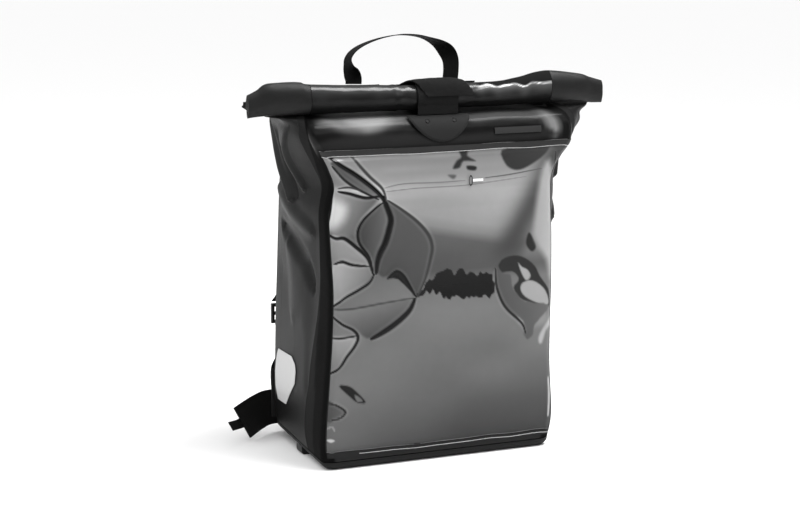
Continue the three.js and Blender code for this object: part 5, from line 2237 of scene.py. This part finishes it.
def direction(run: Array) -> tuple[float, float, float]:
    """Turns about X and Z that aim a lamp or camera, which looks along -Z, along a run."""
    pitch = math.atan2(math.hypot(run[0], run[1]), -run[2])
    return pitch, 0.0, math.atan2(-run[0], run[1])


@dataclass(frozen=True)
class SkyLamp(SoftBox):
    """Wide soft light from far above, the same all over the floor.

    `size` holds the angle that it fills, in degrees, and `power` is in watts a square metre.
    """

    def lamp(self) -> bpy.types.Light:
        """Gives the lamp itself."""
        lamp = bpy.data.lights.new(self.name, "SUN")
        lamp.angle = math.radians(self.size[0])
        lamp.energy = self.power
        return lamp


@dataclass
class Studio:
    """Camera, lamps, pale floor and surroundings.

    Attributes:
        azimuth: degrees that the camera stands to the left of the front.
        elevation: degrees that it looks down.
        distance: metres from its aim.
        aim: where it points, in metres.
        lens: focal length in millimetres, for a picture of `sensor` millimetres.
        sensor: width of the picture in the camera.
        floor_half: half of the floor's width, in metres.
        floor_light: share of the light that the floor gives back.
        surround: strength of the pale world.
        lamps: the lamps.
    """

    azimuth: float = 22.73
    elevation: float = 10.63
    distance: float = 3.188
    aim: tuple[float, float, float] = (-0.0207, 0, 0.3055)
    lens: float = 85.64
    sensor: float = 36
    floor_half: float = 40
    floor_light: float = 0.92
    surround: float = 0.28
    lamps: tuple[SoftBox, ...] = (
        SkyLamp("sky", (-0.3, -0.6, 3.0), (100, 100), 2.7),
        SoftBox("left_box", (-3.0, 0.4, 1.6), (2.0, 2.0), 22),
        SoftBox("right_box", (3.0, -1.4, 1.8), (0.7, 2.4), 8),
        SoftBox("top_box", (0.84, -0.5, 2.6), (1.5, 0.6), 80, (0, -0.1, 0.6)),
    )

    def camera(self) -> None:
        """Camera at the photograph's viewing angle."""
        azimuth, elevation = math.radians(-self.azimuth), math.radians(self.elevation)
        back = np.array([
            math.sin(azimuth) * math.cos(elevation),
            -math.cos(azimuth) * math.cos(elevation),
            math.sin(elevation),
        ])
        view = bpy.data.cameras.new("camera")
        view.lens, view.sensor_width, view.sensor_fit = self.lens, self.sensor, "HORIZONTAL"
        thing = bpy.data.objects.new("camera", view)
        thing.location = np.array(self.aim) + back * self.distance
        thing.rotation_euler = direction(-back)
        bpy.context.scene.collection.objects.link(thing)
        bpy.context.scene.camera = thing

    def floor(self) -> None:
        """Pale floor, and a plain pale world round it."""
        shader = Shader("floor")
        light, half = self.floor_light, self.floor_half
        shader.set(Base_Color=(light, light, light, 1), Roughness=0.7)
        mesh = bpy.data.meshes.new("floor")
        corners = [(-half, -half, 0), (half, -half, 0), (half, half, 0), (-half, half, 0)]
        mesh.from_pydata(corners, [], [(0, 1, 2, 3)])
        mesh.materials.append(shader.material)
        ground = bpy.data.objects.new("floor", mesh)
        bpy.context.scene.collection.objects.link(ground)
        world = bpy.data.worlds.new("studio")
        world.use_nodes = True
        sky = world.node_tree.nodes["Background"]
        sky.inputs["Color"].default_value = (1, 1, 1, 1)
        sky.inputs["Strength"].default_value = self.surround
        bpy.context.scene.world = world
        bpy.context.scene.view_settings.view_transform = "Standard"

    def build(self) -> None:
        """Sets up the studio."""
        self.camera()
        self.floor()
        for lamp in self.lamps:
            lamp.build()


def main() -> None:
    """Builds the bag round its solids."""
    logging.basicConfig(level=logging.INFO, format="%(name)s: %(message)s")
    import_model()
    form = BodyForm()
    roll = Roll(form)
    Studio().build()
    for sub_assembly in (
        Shell(form), roll, Film(form), Closure(form, roll), Handle(form), Harness(form)
    ):
        sub_assembly.build()
        LOG.info("%s done", type(sub_assembly).__name__)
    for node, finish in {
        "foot_rail_front": PLASTIC,
        "foot_rail_back": PLASTIC,
        "front_bar": BAR,
        "reflector_left": SILVER,
        "reflector_right": SILVER,
    }.items():
        dress(node, finish)


if __name__ == "__main__":
    main()
